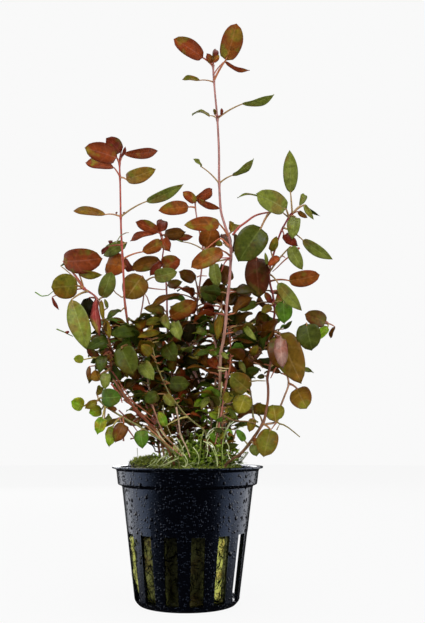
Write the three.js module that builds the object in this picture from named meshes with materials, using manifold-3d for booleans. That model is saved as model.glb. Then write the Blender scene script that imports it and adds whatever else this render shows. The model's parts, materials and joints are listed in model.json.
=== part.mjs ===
// Ludwigia palustris, a red-leaved aquarium plant, standing in its black net pot.
// Millimetres, +Z up, the front towards -Y, the origin at the centre of the pot's base.
import * as THREE from "three";
import { mergeVertices } from "three/addons/utils/BufferGeometryUtils.js";
import Module from "manifold-3d";

const wasm = await Module();
wasm.setup();

// Driving dimensions
const GAP = 0.3; // clearance between pieces that touch
const FINENESS = 0.05; // joined solids lose facets that matter less than this
const POT = {
  height: 48.3,
  lipRadius: 27.5,
  lipThick: 1.0,
  collarTopRadius: 26.0,
  collarFootRadius: 25.3,
  collarFootHeight: 41.9,
  bodyTopRadius: 23.8,
  floorRadius: 18.7,
  footRadius: 17.2,
  cornerRise: 1.6,
  wall: 1.2,
  floorThick: 1.4,
  sides: 42,
};
const SLOT = { count: 14, width: 4.75, low: 2.2, high: 25.2, frontTurn: 11.6 };
const PLUG = {
  topRadius: 21.0,
  floorRadius: 15.4,
  shift: -1.4,
  low: POT.floorThick + GAP,
  high: 47.6,
  moundRise: 5.0,
  sides: 16,
  rings: 3,
};
const STALK_RADIUS = 0.36;
const STALK_ARCH = 0.12; // rise of a long stalk's middle over its length
const BLADE_THICK = 0.45; // depth of the midrib under the blade
const BLADE_BOW = 0.1; // rise of the blade's middle over its length
const BLADE_FOLD = 0.12; // lift of the edges over the half width
const TIP_RADIUS = 0.15;
// Shares of the blade's length with the share of its full width there
const BIG_OUTLINE = [
  [0.24, 0.8],
  [0.55, 1],
  [0.85, 0.72],
];
const SMALL_OUTLINE = [
  [0.28, 0.9],
  [0.76, 0.88],
];
const STEM_SIDES = 5;
const STEM_STEP = 11; // length of one straight stretch of a stem
const PAIR_TURN = THREE.MathUtils.degToRad(74); // turn from one grown pair to the next
const GROWN = { neck: 0.35, neckRise: 0.12, end: 1.25, endRise: 0.3, wide: 0.55, taper: 0.25 };

// The front view in which places on the plant are read: the eye, 300 mm in front of the pot's
// middle, looks up a little. A place is [across, up, depth]: across and up as they are seen
// against the pot's middle plane, and depth behind that plane, so -Y is in front.
const EYE = new THREE.Vector3(9.05, -305.2, 58.7);
const EYE_UP = 106.4; // the height at which the line of sight meets the middle plane
const SIGHT = 300;
const PITCH = THREE.MathUtils.degToRad(8.7);
const UPWARD = new THREE.Vector3(0, -Math.sin(PITCH), Math.cos(PITCH));
const FORWARD = new THREE.Vector3(0, Math.cos(PITCH), Math.sin(PITCH));

function seen(across, up, depth) {
  const ray = FORWARD.clone()
    .addScaledVector(UPWARD, (up - EYE_UP) / SIGHT)
    .add(new THREE.Vector3((across - EYE.x) / SIGHT, 0, 0));
  return EYE.clone().addScaledVector(ray, (depth - EYE.y) / ray.y);
}

// Colours
const BLACK_PLASTIC = 0x14121f;
const WOOL_GREEN = 0x6f7434;
const TONES = {
  rust: 0x7a2c12,
  maroon: 0x5a1410,
  orange: 0x85500f,
  olive: 0x66601a,
  brown: 0x5a3a14,
  green: 0x4c6a22,
  grass: 0x5f8a1f,
  dark: 0x27401a,
  pink: 0x9a4a40,
};
const BARK = { pink: 0xa87874, red: 0xa04848, wine: 0x7a3038, straw: 0x8f8050 };

// Solids
function toSolid(geometry) {
  geometry.deleteAttribute("normal");
  geometry.deleteAttribute("uv");
  const merged = mergeVertices(geometry, 1e-4);
  return new wasm.Manifold(
    new wasm.Mesh({
      numProp: 3,
      vertProperties: new Float32Array(merged.attributes.position.array),
      triVerts: new Uint32Array(merged.index.array),
    }),
  );
}

function slim(solid) {
  return solid.asOriginal().simplify(FINENESS);
}

function toGeometry(solid) {
  const mesh = solid.getMesh();
  const geometry = new THREE.BufferGeometry();
  geometry.setAttribute("position", new THREE.BufferAttribute(mesh.vertProperties, 3));
  geometry.setIndex(new THREE.BufferAttribute(mesh.triVerts, 1));
  geometry.computeVertexNormals();
  return geometry;
}

// Lays the three-sided rings of a closed rod on a list of stations: a corner to each side and one
// below. Each station holds its centre, the directions across and out of the ring, and its sizes.
function loft(stations) {
  const steps = stations.length - 1;
  const rod = new THREE.CylinderGeometry(1, 1, 1, 3, steps);
  const position = rod.attributes.position;
  const sideCorner = Math.sin(Math.PI / 3);
  for (let i = 0; i < position.count; i++) {
    const station = stations[Math.round((position.getY(i) + 0.5) * steps)];
    const aside = -position.getX(i) / sideCorner;
    const place = station.centre
      .clone()
      .addScaledVector(station.across, aside * station.half)
      .addScaledVector(station.out, -position.getZ(i) * station.thick)
      .addScaledVector(station.out, Math.abs(aside) * station.fold);
    position.setXYZ(i, place.x, place.y, place.z);
  }
  return toSolid(rod);
}

// Pot
function makePot() {
  const p = POT;
  const lipFoot = p.height - p.lipThick;
  const profile = [
    [0, 0],
    [p.footRadius, 0],
    [p.floorRadius, p.cornerRise],
    [p.bodyTopRadius, p.collarFootHeight - 0.6],
    [p.collarFootRadius, p.collarFootHeight],
    [p.collarTopRadius, lipFoot],
    [p.lipRadius, lipFoot + 0.3],
    [p.lipRadius, p.height],
    [p.collarTopRadius - p.wall, p.height - 0.2],
    [p.collarFootRadius - p.wall, p.collarFootHeight + 1],
    [p.bodyTopRadius - p.wall, p.collarFootHeight - 1],
    [p.floorRadius - p.wall, p.floorThick],
    [0, p.floorThick],
  ];
  const lathe = new THREE.LatheGeometry(
    profile.map(([radius, height]) => new THREE.Vector2(radius, height)),
    p.sides,
  );
  lathe.rotateX(Math.PI / 2);
  let pot = toSolid(lathe);
  const slotHeight = SLOT.high - SLOT.low;
  for (let i = 0; i < SLOT.count; i++) {
    const turn = THREE.MathUtils.degToRad(SLOT.frontTurn - 90) + (i * 2 * Math.PI) / SLOT.count;
    const slot = new THREE.BoxGeometry(8, SLOT.width, slotHeight);
    slot.translate((p.floorRadius + p.bodyTopRadius) / 2, 0, SLOT.low + slotHeight / 2);
    slot.rotateZ(turn);
    pot = pot.subtract(toSolid(slot));
  }
  return pot;
}

// Wool plug: a squeezed round block, set a little to the left, its low left edge worn away and
// a mound over the rim at the left
function makePlug() {
  const g = PLUG;
  const block = new THREE.CylinderGeometry(1, 1, 1, g.sides, g.rings);
  const position = block.attributes.position;
  for (let i = 0; i < position.count; i++) {
    const level = position.getY(i) + 0.5;
    const turn = Math.atan2(position.getZ(i), position.getX(i));
    const reach = Math.hypot(position.getX(i), position.getZ(i));
    const left = Math.max(0, -Math.cos(turn));
    const lumps = 0.35 * Math.sin(5 * turn + 4 * level) + 0.3 * Math.sin(9 * turn - 7 * level);
    const worn = 2.6 * left * Math.max(0, 1 - 5 * level);
    const radius = g.floorRadius + (g.topRadius - g.floorRadius) * level + lumps - worn;
    const mound = g.moundRise * left ** 2 * Math.max(0, level - 0.9) * 10 * reach;
    position.setXYZ(
      i,
      g.shift + reach * radius * Math.cos(turn),
      -reach * radius * Math.sin(turn),
      g.low + (g.high - g.low) * level + mound,
    );
  }
  return toSolid(block);
}

// A shoot's middle line, from its foot in the wool to its tip
function shootCurve(shoot) {
  return new THREE.CatmullRomCurve3(
    shoot.path.map((place) => seen(...place)),
    false,
    "centripetal",
  );
}

function stemSteps(curve) {
  return Math.max(3, Math.round(curve.getLength() / STEM_STEP));
}

function makeStem(curve, radius) {
  const corners = Array.from({ length: STEM_SIDES }, (_, i) => {
    const turn = (2 * Math.PI * i) / STEM_SIDES;
    return new THREE.Vector2(radius * Math.cos(turn), radius * Math.sin(turn));
  });
  const options = { extrudePath: curve, steps: stemSteps(curve) };
  return toSolid(new THREE.ExtrudeGeometry(new THREE.Shape(corners), options));
}

// The room that a shoot takes in the wool, which goes on a little below its foot
function makePocket(curve, radius) {
  const room = makeStem(curve, radius + 2 * GAP);
  return room.add(room.translate([0, 0, -2 * GAP]));
}

// A point of the stem at a share of its length, in the middle of its straight stretches
function stemPoint(curve, share) {
  const steps = stemSteps(curve);
  const stretch = Math.min(Math.floor(share * steps), steps - 1);
  const start = curve.getPointAt(stretch / steps);
  return start.lerp(curve.getPointAt((stretch + 1) / steps), share * steps - stretch);
}

// The point of the stem that is seen nearest to [across, up]
function onShoot(curve, [across, up]) {
  const samples = 300;
  const points = Array.from({ length: samples + 1 }, (_, i) => stemPoint(curve, i / samples));
  const misses = points.map((point) => point.distanceTo(seen(across, up, point.y)));
  return points[misses.indexOf(Math.min(...misses))];
}

// A leaf, petiole and blade in one: from foot over neck, where the blade starts, to end. face is
// the way that the blade's upper side looks, and extra thickens it for a test of its room.
function makeLeaf({ foot, neck, end, wide, face, outline }, extra = 0) {
  const along = end.clone().sub(neck);
  const axis = along.clone().normalize();
  const out = face.clone().addScaledVector(axis, -face.dot(axis)).normalize();
  const across = axis.clone().cross(out);
  const stalkAxis = neck.clone().sub(foot).normalize();
  const stalkAcross = stalkAxis.clone().cross(out).normalize();
  const stalkOut = stalkAcross.clone().cross(stalkAxis);
  const radius = STALK_RADIUS + extra;
  const stalk = { half: radius, thick: radius, fold: 0, across: stalkAcross, out: stalkOut };
  const stations = [{ centre: foot, ...stalk }];
  const stalkLength = foot.distanceTo(neck);
  if (stalkLength > 6) {
    const middle = foot.clone().lerp(neck, 0.5);
    middle.z += Math.min(1.2, STALK_ARCH * stalkLength);
    stations.push({ centre: middle, ...stalk });
  }
  stations.push({ centre: neck, ...stalk });
  for (const [share, width] of outline) {
    const half = (width * wide) / 2;
    const bow = BLADE_BOW * along.length() * Math.sin(Math.PI * share);
    stations.push({
      centre: neck.clone().addScaledVector(along, share).addScaledVector(out, bow),
      half: half + extra,
      thick: BLADE_THICK + extra,
      fold: BLADE_FOLD * half,
      across,
      out,
    });
  }
  const tipRadius = TIP_RADIUS + extra;
  stations.push({ centre: end, half: tipRadius, thick: tipRadius, fold: 0, across, out });
  return loft(stations);
}

// A leaf of the lists, whose node, base and tip are places in the front view. roll turns its
// face about its own length, away from the eye.
function makeListedLeaf(shoot, curve, listed, fused) {
  const foot = onShoot(curve, listed.node);
  const neck = seen(...listed.base);
  const end = seen(...listed.tip);
  if (!fused) {
    const clear = shoot.thick + STALK_RADIUS + 2 * GAP;
    foot.addScaledVector(neck.clone().sub(foot).normalize(), clear);
  }
  const axis = end.clone().sub(neck).normalize();
  const face = EYE.clone().sub(neck);
  face.addScaledVector(axis, -face.dot(axis));
  face.applyAxisAngle(axis, THREE.MathUtils.degToRad(listed.roll));
  const outline = fused ? SMALL_OUTLINE : BIG_OUTLINE;
  return makeLeaf({ foot, neck, end, wide: listed.wide, face, outline });
}

// Leaves that stand by rule in crossed pairs along a stretch of a shoot
function grownLeaves(curve, { from, to, pairs, length, side }) {
  const leaves = [];
  for (let i = 0; i < pairs; i++) {
    const share = from + ((to - from) * i) / (pairs - 1);
    const foot = stemPoint(curve, share);
    const face = curve.getTangentAt(share);
    const reach = length * (1 - (GROWN.taper * i) / pairs);
    for (const half of [0, Math.PI]) {
      const turn = PAIR_TURN * i + half;
      const aside = new THREE.Vector3(Math.cos(turn), Math.sin(turn), 0);
      if (side === "back" && aside.y < -0.2) {
        continue;
      }
      const neck = foot.clone().addScaledVector(aside, GROWN.neck * reach);
      neck.z += GROWN.neckRise * reach;
      const end = foot.clone().addScaledVector(aside, GROWN.end * reach);
      end.z += GROWN.endRise * reach;
      const wide = GROWN.wide * reach;
      leaves.push({ foot, neck, end, wide, face, outline: SMALL_OUTLINE });
    }
  }
  return leaves;
}

// One line of the leaf lists: node on the shoot, blade's base and tip, width, roll and colour
function leaf(node, base, tip, wide, roll, tone) {
  return { node, base, tip, wide, roll, tone };
}

// Shoots with their leaves: big ones are pieces of their own, small ones are one with the stem,
// and grown ones stand in crossed pairs by rule: [from, to] along the shoot, count of pairs, length
const SHOOTS = [
  {
    name: "tall",
    thick: 0.6,
    bark: BARK.pink,
    path: [
      [9.3, 42, -5.5], [9.6, 50, -7], [10.6, 58, -10], [11.3, 66, -12], [11.4, 73.5, -13.5],
      [11.8, 80, -15], [11.9, 87, -16.5], [12.2, 92, -17.3], [12.9, 95.2, -17.8],
      [13.9, 102.5, -18], [14.2, 108.4, -18], [15.1, 115.7, -17], [15.6, 123, -15],
      [15.7, 130.7, -12], [13.3, 138.8, -9], [12.2, 142.8, -7], [11.5, 153.3, -3],
      [11.4, 165, 0], [10.8, 177, 2], [9.8, 188, 3], [9.2, 196.5, 3],
    ],
    big: [
      leaf([9.8, 191], [13.9, 198.3, -1], [18, 211.4, -9], 8.5, 10, "olive"),
      leaf([9.2, 196], [5.5, 199.2, 0], [-4.8, 206, -8], 6.8, 15, "rust"),
      leaf([10.8, 177], [20, 182.3, -4], [31.5, 184.7, -10], 4.5, 50, "green"),
      leaf([15, 133.5], [11.7, 138.3, -14], [-1.1, 138, -20], 5.4, 10, "orange"),
      leaf([15.6, 126.5], [12.8, 128.6, -17], [1.9, 123, -23], 6.2, 10, "orange"),
    ],
    small: [
      leaf([15.5, 125.2], [9.6, 124.2, -10], [10.6, 116.2, -15], 4.5, 15, "green"),
      leaf([9.2, 196.4], [8.6, 197.5, 1], [7.5, 202.3, -2], 1.6, 20, "maroon"),
      leaf([9.2, 196.4], [9.6, 197.6, 4], [10.2, 202.6, 7], 2.0, 20, "maroon"),
      leaf([9.6, 193], [13.5, 197.6, 7], [22.5, 194.3, 12], 1.6, 50, "rust"),
      leaf([9.7, 190.2], [4.5, 191, 6], [-2.4, 191.6, 11], 2.4, 30, "olive"),
      leaf([10.8, 177], [8, 178, 6], [1.5, 179.8, 14], 3.0, 70, "green"),
      leaf([11.5, 153.3], [5, 159.3, -9], [2.6, 162.4, -12], 2.0, 50, "green"),
      leaf([11.5, 153.3], [16.3, 156.2, -7], [24.3, 161.3, -13], 3.4, 40, "green"),
      leaf([15.7, 130], [15.2, 129.8, -8], [12.6, 135, -2], 3.8, 20, "rust"),
      leaf([15.7, 128.6], [16.6, 128, -8], [17.6, 135.6, -3], 2.6, 30, "brown"),
      leaf([15, 134], [16, 135.4, -5], [17.3, 139.4, 0], 4.8, 10, "rust"),
      leaf([12.2, 91], [12.6, 91.4, -19], [14.9, 89, -22], 1.7, 10, "green"),
      leaf([15, 113.8], [17, 114, -13], [24.3, 113.6, -8], 3.6, 20, "brown"),
      leaf([14.1, 103.5], [15.8, 103, -13], [20.8, 105, -7], 5.0, 15, "dark"),
    ],
    grown: [{ from: 0.24, to: 0.42, pairs: 2, length: 10, side: "back" }],
  },
  {
    name: "arch",
    thick: 0.45,
    bark: BARK.red,
    rootless: true,
    path: [
      [16.5, 134.4, -10], [18.5, 137, -9], [20.9, 138.8, -8], [25, 141.6, -7], [31.5, 143, -5],
    ],
    big: [leaf([30.2, 142.6], [26.8, 137, -14], [19, 125.2, -22], 9.2, 10, "green")],
    small: [],
    grown: [],
  },
  {
    name: "left",
    thick: 0.5,
    bark: BARK.red,
    path: [
      [-5, 42, 3], [-4.6, 50, 3], [-6, 56, 2], [-9, 62, 0], [-12.5, 71.5, -3], [-17, 85, -8],
      [-20.3, 95, -11], [-21.7, 101, -12], [-22.4, 105.1, -12.5], [-23.2, 111.7, -13],
      [-23.5, 119.7, -13], [-23.9, 127.1, -12], [-24.3, 134.4, -10], [-24.5, 141, -8],
      [-24.7, 152, -5], [-25, 161.5, -3],
    ],
    big: [
      leaf([-24.9, 160.5], [-26.2, 162.6, -6], [-36.3, 166.5, -14], 6.0, 15, "brown"),
      leaf([-24.8, 155.8], [-27.3, 159, -3], [-38, 161.3, 3], 3.8, 25, "rust"),
      leaf([-24.9, 160.5], [-23.3, 164.2, 1], [-10.5, 164.6, 8], 3.6, 20, "rust"),
      leaf([-24.7, 155.4], [-22.6, 155.6, -8], [-12.8, 157, -15], 4.8, 10, "olive"),
      leaf([-24.5, 141], [-15.2, 146.6, -14], [-1.8, 152.5, -22], 3.6, 20, "rust"),
      leaf([-24.5, 141], [-30, 141.9, -3], [-42, 143.5, 3], 3.2, 20, "pink"),
      leaf([-23.7, 122.6], [-25, 123, -7], [-30, 124.2, 0], 6.8, 10, "orange"),
      leaf([-20, 93.5], [-24.3, 93.4, -18], [-20.4, 84.3, -25], 8.0, 5, "olive"),
    ],
    small: [
      leaf([-25, 161.5], [-25, 165, -4], [-29.3, 169.9, -9], 4.5, 20, "maroon"),
      leaf([-23.8, 125.5], [-16.6, 128.2, -11], [-9, 132, -10], 4.8, 10, "orange"),
      leaf([-24.9, 160.4], [-24.5, 162.5, -5], [-22.5, 166.8, -5], 1.4, 20, "maroon"),
      leaf([-24.1, 130.5], [-22.9, 131.2, -7], [-30, 128.2, -2], 3.4, 10, "green"),
      leaf([-24, 127.2], [-23.5, 126, -9], [-19.7, 120.3, -3], 3.2, 20, "pink"),
      leaf([-22.7, 107.8], [-24.3, 106.7, -15], [-29.6, 104, -19], 2.6, 40, "dark"),
      leaf([-20.5, 96], [-19, 99.4, -15], [-28, 98, -22], 4.8, 10, "dark"),
    ],
    grown: [{ from: 0.18, to: 0.34, pairs: 2, length: 9, side: "back" }],
  },
  {
    name: "middle",
    thick: 0.45,
    bark: BARK.pink,
    path: [
      [0.5, 42, 6], [0.2, 52, 7], [-0.6, 62, 8], [0, 75, 8], [2.5, 88, 7], [4.4, 99.6, 6],
      [3.4, 108.9, 5], [4.6, 118, 4], [5.6, 128.9, 3], [4.5, 134.4, 3], [3.3, 140.6, 4],
      [2.8, 144.5, 4], [2.6, 148, 4],
    ],
    big: [
      leaf([2.8, 144.3], [0.3, 144.6, 2], [-10.5, 143.3, -4], 5.6, 10, "orange"),
    ],
    small: [
      leaf([5.6, 128.9], [6.2, 130, -1], [9, 136.8, -6], 6.2, 10, "olive"),
      leaf([2.7, 147], [2, 147.6, 3], [-1.3, 150.5, 0], 3.0, 20, "rust"),
      leaf([2.7, 147], [4, 148, 6], [9.5, 150.8, 11], 2.4, 30, "rust"),
      leaf([2.7, 147], [7, 147.6, 3], [12, 144.2, 1], 2.4, 30, "rust"),
      leaf([5.6, 128.9], [-1.5, 131.8, 8], [-6, 133.3, 12], 1.8, 30, "green"),
      leaf([3.8, 113], [2.8, 118, -2], [-2.6, 120.6, -7], 4.8, 5, "dark"),
      leaf([3.5, 110], [-3, 112.7, -4], [-14, 108.6, -12], 3.0, 45, "dark"),
    ],
    grown: [{ from: 0.28, to: 0.6, pairs: 3, length: 12, side: "both" }],
  },
  {
    name: "whorl",
    thick: 0.45,
    bark: BARK.wine,
    path: [
      [-2, 42, -1], [-2.2, 52, -1], [-3.2, 62, -2], [-4, 70, -3], [-6, 85, -4],
      [-7.4, 100, -3], [-7.7, 113, -1], [-8.2, 120, 0], [-9.2, 126.5, 1], [-8.9, 129, 1.5],
      [-9.8, 134.8, 1.5],
    ],
    big: [
      leaf([-8.3, 121.2], [-10.2, 125, -4], [-20, 122.4, -9], 5.6, 10, "brown"),
      leaf([-9, 125.5], [-9.4, 123, -8], [-3.2, 125.3, -14], 6.4, 5, "rust"),
      leaf([-7.5, 103], [-6.5, 104.6, -8], [2.7, 109.6, -14], 6.2, 10, "rust"),
    ],
    small: [
      leaf([-9.6, 133.4], [-11.2, 136.3, -2], [-18.3, 138.9, -6], 3.6, 20, "pink"),
      leaf([-9.5, 134], [-8.2, 134.8, -1], [-2, 135.3, -6], 3.8, 10, "brown"),
      leaf([-7.6, 106], [-8.5, 106.6, -6], [-15.8, 107.6, -12], 3.8, 15, "orange"),
      leaf([-9.8, 134.8], [-9.9, 136, 3], [-9.6, 139.9, 7], 4.0, 10, "maroon"),
      leaf([-9.8, 134.8], [-12, 135.2, 4], [-22, 132.7, 10], 2.4, 40, "rust"),
      leaf([-9.6, 134], [-6, 134.4, 4], [2.3, 133.2, 8], 1.8, 30, "rust"),
      leaf([-9.6, 133.6], [-9.2, 133, -1], [-7.3, 129.6, -7], 4.4, 10, "rust"),
      leaf([-7.8, 115], [-7.4, 116.2, -4], [-2.5, 117.2, -9], 3.4, 10, "dark"),
      leaf([-7.5, 101.5], [-9, 103.2, -6], [-16, 102.2, -13], 3.2, 10, "olive"),
      leaf([-7.5, 104.5], [-8.9, 104.8, -11], [-7, 100.3, -17], 3.0, 10, "green"),
      leaf([-7.3, 99], [-5, 102.6, -12], [-3.2, 97.2, -19], 4.4, 10, "green"),
      leaf([-7.2, 97], [-10.3, 98.7, -12], [-18, 97.2, -19], 2.8, 20, "olive"),
      leaf([-6.3, 88], [-8, 94.5, -12], [-4.5, 88.5, -18], 6.5, 10, "dark"),
    ],
    grown: [{ from: 0.28, to: 0.5, pairs: 2, length: 10, side: "both" }],
  },
  {
    name: "pink",
    thick: 0.4,
    bark: BARK.pink,
    path: [
      [-7.5, 42, -4], [-8, 50, -5], [-10.5, 62, -8], [-13.5, 75, -11], [-15.6, 88, -11],
      [-17, 98, -8], [-17.3, 104.5, -6.5], [-16.6, 108.5, -5.5], [-16.1, 112.3, -4.5],
      [-15.8, 117, -4.5],
    ],
    big: [
      leaf([-15.8, 117], [-16.6, 119.3, -7], [-22.4, 111.2, -9], 9.6, 5, "olive"),
      leaf([-15.8, 117], [-12.2, 119, -10], [-4.4, 120.8, -17], 5.4, 5, "green"),
    ],
    small: [
      leaf([-17.3, 104], [-17, 104, -11], [-17.6, 100.3, -17], 4.4, 10, "brown"),
      leaf([-15.4, 87], [-17, 87.6, -17], [-12.6, 81.8, -23], 5.2, 5, "green"),
    ],
    grown: [{ from: 0.35, to: 0.62, pairs: 2, length: 8, side: "both" }],
  },
  {
    name: "low_left",
    thick: 0.55,
    bark: BARK.red,
    path: [
      [-4.5, 42, -10], [-5, 50, -12], [-8, 57.5, -15], [-13.8, 65, -17.5], [-17.5, 69, -19],
      [-21, 73, -20], [-24, 77, -20.5], [-26, 80, -21], [-27.8, 84, -20], [-28.2, 88, -19],
      [-28.3, 93, -17], [-29.5, 99, -14], [-31, 105, -11], [-33.5, 111.5, -8],
      [-38, 114.8, -5],
    ],
    big: [
      leaf([-38, 114.8], [-44.8, 123.4, -4], [-32.3, 124.5, -10], 8.2, 10, "rust"),
      leaf([-38, 114.8], [-40.2, 115.8, -6], [-49.6, 115.3, -10], 9.4, 5, "olive"),
      leaf([-33, 110], [-31.3, 111.5, -13], [-28, 120.3, -19], 5.8, 10, "green"),
      leaf([-36.5, 113.5], [-42.4, 110.8, -13], [-36.9, 93.3, -23], 7.6, 5, "green"),
    ],
    small: [
      leaf([-32.2, 108], [-33.4, 110.3, -15], [-33, 98.4, -22], 4.2, 30, "pink"),
      leaf([-33.4, 111], [-36, 111.5, -8], [-37.8, 104, -6], 5.0, 10, "dark"),
      leaf([-30.5, 103], [-30.1, 103.6, -17], [-28.7, 97.4, -23], 2.6, 10, "olive"),
      leaf([-28.4, 93], [-29.3, 96.2, -20], [-36.3, 93.1, -27], 4.2, 15, "dark"),
      leaf([-28.2, 89], [-38, 88.8, -25], [-41.6, 89.1, -27], 2.9, 10, "grass"),
      leaf([-27.9, 85], [-32, 83.4, -24], [-35.8, 81.9, -28], 4.0, 5, "orange"),
      leaf([-28, 86], [-30, 84, -26], [-30.2, 78.5, -31], 3.6, 5, "green"),
      leaf([-28.2, 90.5], [-31, 90.3, -22], [-32, 84.3, -28], 4.0, 10, "dark"),
    ],
    grown: [],
  },
  {
    name: "trailing",
    thick: 0.4,
    bark: BARK.straw,
    path: [
      [-2.5, 42, -14], [-3, 50, -16], [-7, 57, -21], [-14, 62, -24], [-18, 64.5, -26],
      [-23, 67.3, -27], [-27, 69.7, -28], [-30.2, 71.8, -28], [-32.7, 74.3, -27],
    ],
    big: [leaf([-32.6, 74.2], [-31.6, 74.8, -30], [-24.8, 75.2, -35], 6.2, 5, "grass")],
    small: [
      leaf([-32.6, 74.2], [-33, 75.6, -25], [-31.6, 79.9, -21], 2.4, 10, "olive"),
      leaf([-32.4, 73.8], [-33.2, 73.6, -29], [-37.2, 71.2, -32], 2.6, 10, "olive"),
      leaf([-32.4, 73.8], [-38, 71.8, -30], [-42.4, 73.2, -33], 4.0, 5, "grass"),
      leaf([-30.4, 72], [-31.5, 70.6, -26], [-35.8, 69.3, -29], 4.1, 5, "grass"),
      leaf([-30.2, 71.8], [-31.2, 67.6, -31], [-32.7, 62.4, -36], 3.9, 5, "grass"),
      leaf([-30, 71.6], [-30.6, 66, -28], [-27.9, 68.9, -24], 2.2, 20, "green"),
      leaf([-24.5, 68], [-27.6, 64.2, -30], [-28.6, 58.1, -35], 3.8, 5, "grass"),
      leaf([-24, 67.8], [-23.4, 65.4, -29], [-26.2, 59.2, -35], 4.8, 5, "brown"),
      leaf([-16, 63.2], [-17.2, 63, -27], [-16.5, 56.6, -31], 4.9, 5, "grass"),
    ],
    grown: [],
  },
  {
    name: "crossing",
    thick: 0.35,
    bark: BARK.straw,
    path: [
      [3.5, 42, -11], [5, 50, -12], [6.8, 57, -13.5], [6.3, 62.5, -15], [3, 65.3, -16],
      [-1, 68.8, -17], [-4.5, 73.2, -17], [-6.5, 76, -16.5], [-9, 81, -15.5],
      [-11.4, 87, -15], [-12.6, 92, -15], [-13.5, 96, -15],
    ],
    big: [],
    small: [
      leaf([-8.8, 80.6], [-6.8, 80, -21], [-0.2, 80, -26], 5.4, 5, "grass"),
      leaf([-6.3, 75.6], [-8.5, 76, -19], [-5.4, 72.3, -22], 3.4, 10, "green"),
      leaf([-5.8, 75], [-10.8, 76.3, -20], [-15.4, 73.4, -23], 4.6, 10, "dark"),
      leaf([-11.8, 88.5], [-13.4, 90.5, -18], [-17, 94.2, -21], 4.0, 10, "olive"),
    ],
    grown: [],
  },
  {
    name: "thin",
    thick: 0.5,
    bark: BARK.pink,
    path: [
      [6.4, 42, -5], [7.4, 52, -8], [8.3, 62.5, -11], [8.7, 68, -12], [8.9, 72, -12],
      [9.7, 76, -12], [10.1, 80, -12], [10.5, 84, -12], [10.8, 88, -12], [10.6, 92, -12.5],
      [9.9, 95.5, -12.5], [8.4, 100.3, -12.5], [10, 104.5, -12], [12.5, 109, -11],
    ],
    big: [],
    small: [
      leaf([12.4, 108.8], [12.6, 106.8, -14], [10.6, 96.8, -19], 3.2, 15, "olive"),
      leaf([12.4, 108.8], [9.8, 110, -8], [5, 115.6, -10], 5.4, 10, "dark"),
      leaf([12.4, 108.8], [12.6, 110, -8], [12, 116.4, -5], 5.0, 10, "brown"),
      leaf([8.6, 101], [8.6, 103.5, -8], [6.8, 110, -6], 4.0, 10, "maroon"),
      leaf([10.6, 92], [8.2, 92.2, -15], [2.8, 90.4, -19], 2.2, 10, "dark"),
      leaf([8.9, 72], [7.6, 75, -15], [5, 71, -19], 2.4, 10, "green"),
    ],
    grown: [],
  },
  {
    name: "red",
    thick: 0.45,
    bark: BARK.red,
    path: [
      [10.5, 42, -9.5], [11.5, 50, -12], [12.5, 60, -15], [12.6, 68, -16.5], [12.8, 73, -17],
      [13.5, 79, -16.5], [15.2, 85, -15], [15.6, 90, -14], [15.6, 94, -14], [15.2, 98, -14.5],
      [14.9, 100.5, -15],
    ],
    big: [],
    small: [
      leaf([14.9, 100], [20.5, 101.4, -15], [24.8, 96, -20], 2.4, 10, "green"),
      leaf([15.4, 96], [17, 97, -12], [24.5, 94.8, -14], 1.4, 20, "rust"),
      leaf([12.6, 70], [14.8, 71.4, -18], [18, 67, -22], 1.9, 10, "green"),
    ],
    grown: [{ from: 0.55, to: 0.8, pairs: 2, length: 8, side: "back" }],
  },
  {
    name: "slanting",
    thick: 0.45,
    bark: BARK.wine,
    path: [
      [12.3, 42, -3], [13, 50, -3], [13.4, 60, -4], [13.9, 70, -6], [15.7, 77, -7],
      [18.5, 82.5, -8.5], [21.7, 86.4, -10], [25.5, 90.8, -11], [28.6, 94.6, -12],
    ],
    big: [],
    small: [
      leaf([28, 94], [26.2, 99.6, -6], [28, 107.2, -3], 5.0, 10, "brown"),
      leaf([26, 91.4], [22.6, 94.8, -6], [16, 93.4, -9], 4.2, 10, "dark"),
      leaf([24, 89], [23, 90.6, -12], [25.6, 93.8, -16], 3.2, 10, "olive"),
      leaf([19.5, 84], [19, 88.4, -12], [20.8, 84.4, -17], 2.2, 10, "green"),
      leaf([19.5, 84], [20.6, 83.8, -12], [25.9, 85.3, -16], 3.4, 10, "dark"),
    ],
    grown: [{ from: 0.35, to: 0.72, pairs: 2, length: 10, side: "back" }],
  },
  {
    name: "short",
    thick: 0.4,
    bark: BARK.pink,
    path: [
      [4.5, 42, 1], [5.4, 52, 0], [6.6, 62, -1], [7, 70, -2], [6, 75.5, -3], [5, 78, -3.5],
      [4, 81, -4], [2.5, 85, -4], [1, 90, -4], [0.5, 95, -4],
    ],
    big: [],
    small: [
      leaf([0.6, 94], [-0.5, 95, -7], [1.5, 103, -10], 4.6, 10, "dark"),
      leaf([1, 90], [-1, 90.5, -8], [3.4, 86.5, -13], 4.4, 10, "dark"),
    ],
    grown: [{ from: 0.5, to: 0.9, pairs: 2, length: 10, side: "both" }],
  },
  {
    name: "right",
    thick: 0.55,
    bark: BARK.wine,
    path: [
      [12, 42, -12.5], [13.5, 49.5, -14.5], [16.1, 52.3, -17], [18.9, 54, -18],
      [21.7, 57, -18.5], [24.3, 60.5, -18.5], [26.6, 64, -18], [27.9, 66.5, -17],
      [28.6, 69.9, -16], [29.3, 74, -15], [29.4, 78.6, -14], [29.1, 82.1, -13],
      [30, 86, -12], [30.8, 90.8, -11], [30.9, 98.1, -10], [31.2, 102, -9], [31.8, 106, -8],
      [31.5, 109.5, -8], [31.1, 112.6, -7.5], [30.1, 116.5, -7], [29.7, 120.5, -7],
      [31, 126, -7], [33.4, 133.8, -6], [34.8, 137, -5], [36.5, 140, -4], [38.2, 142.1, -4],
    ],
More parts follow.
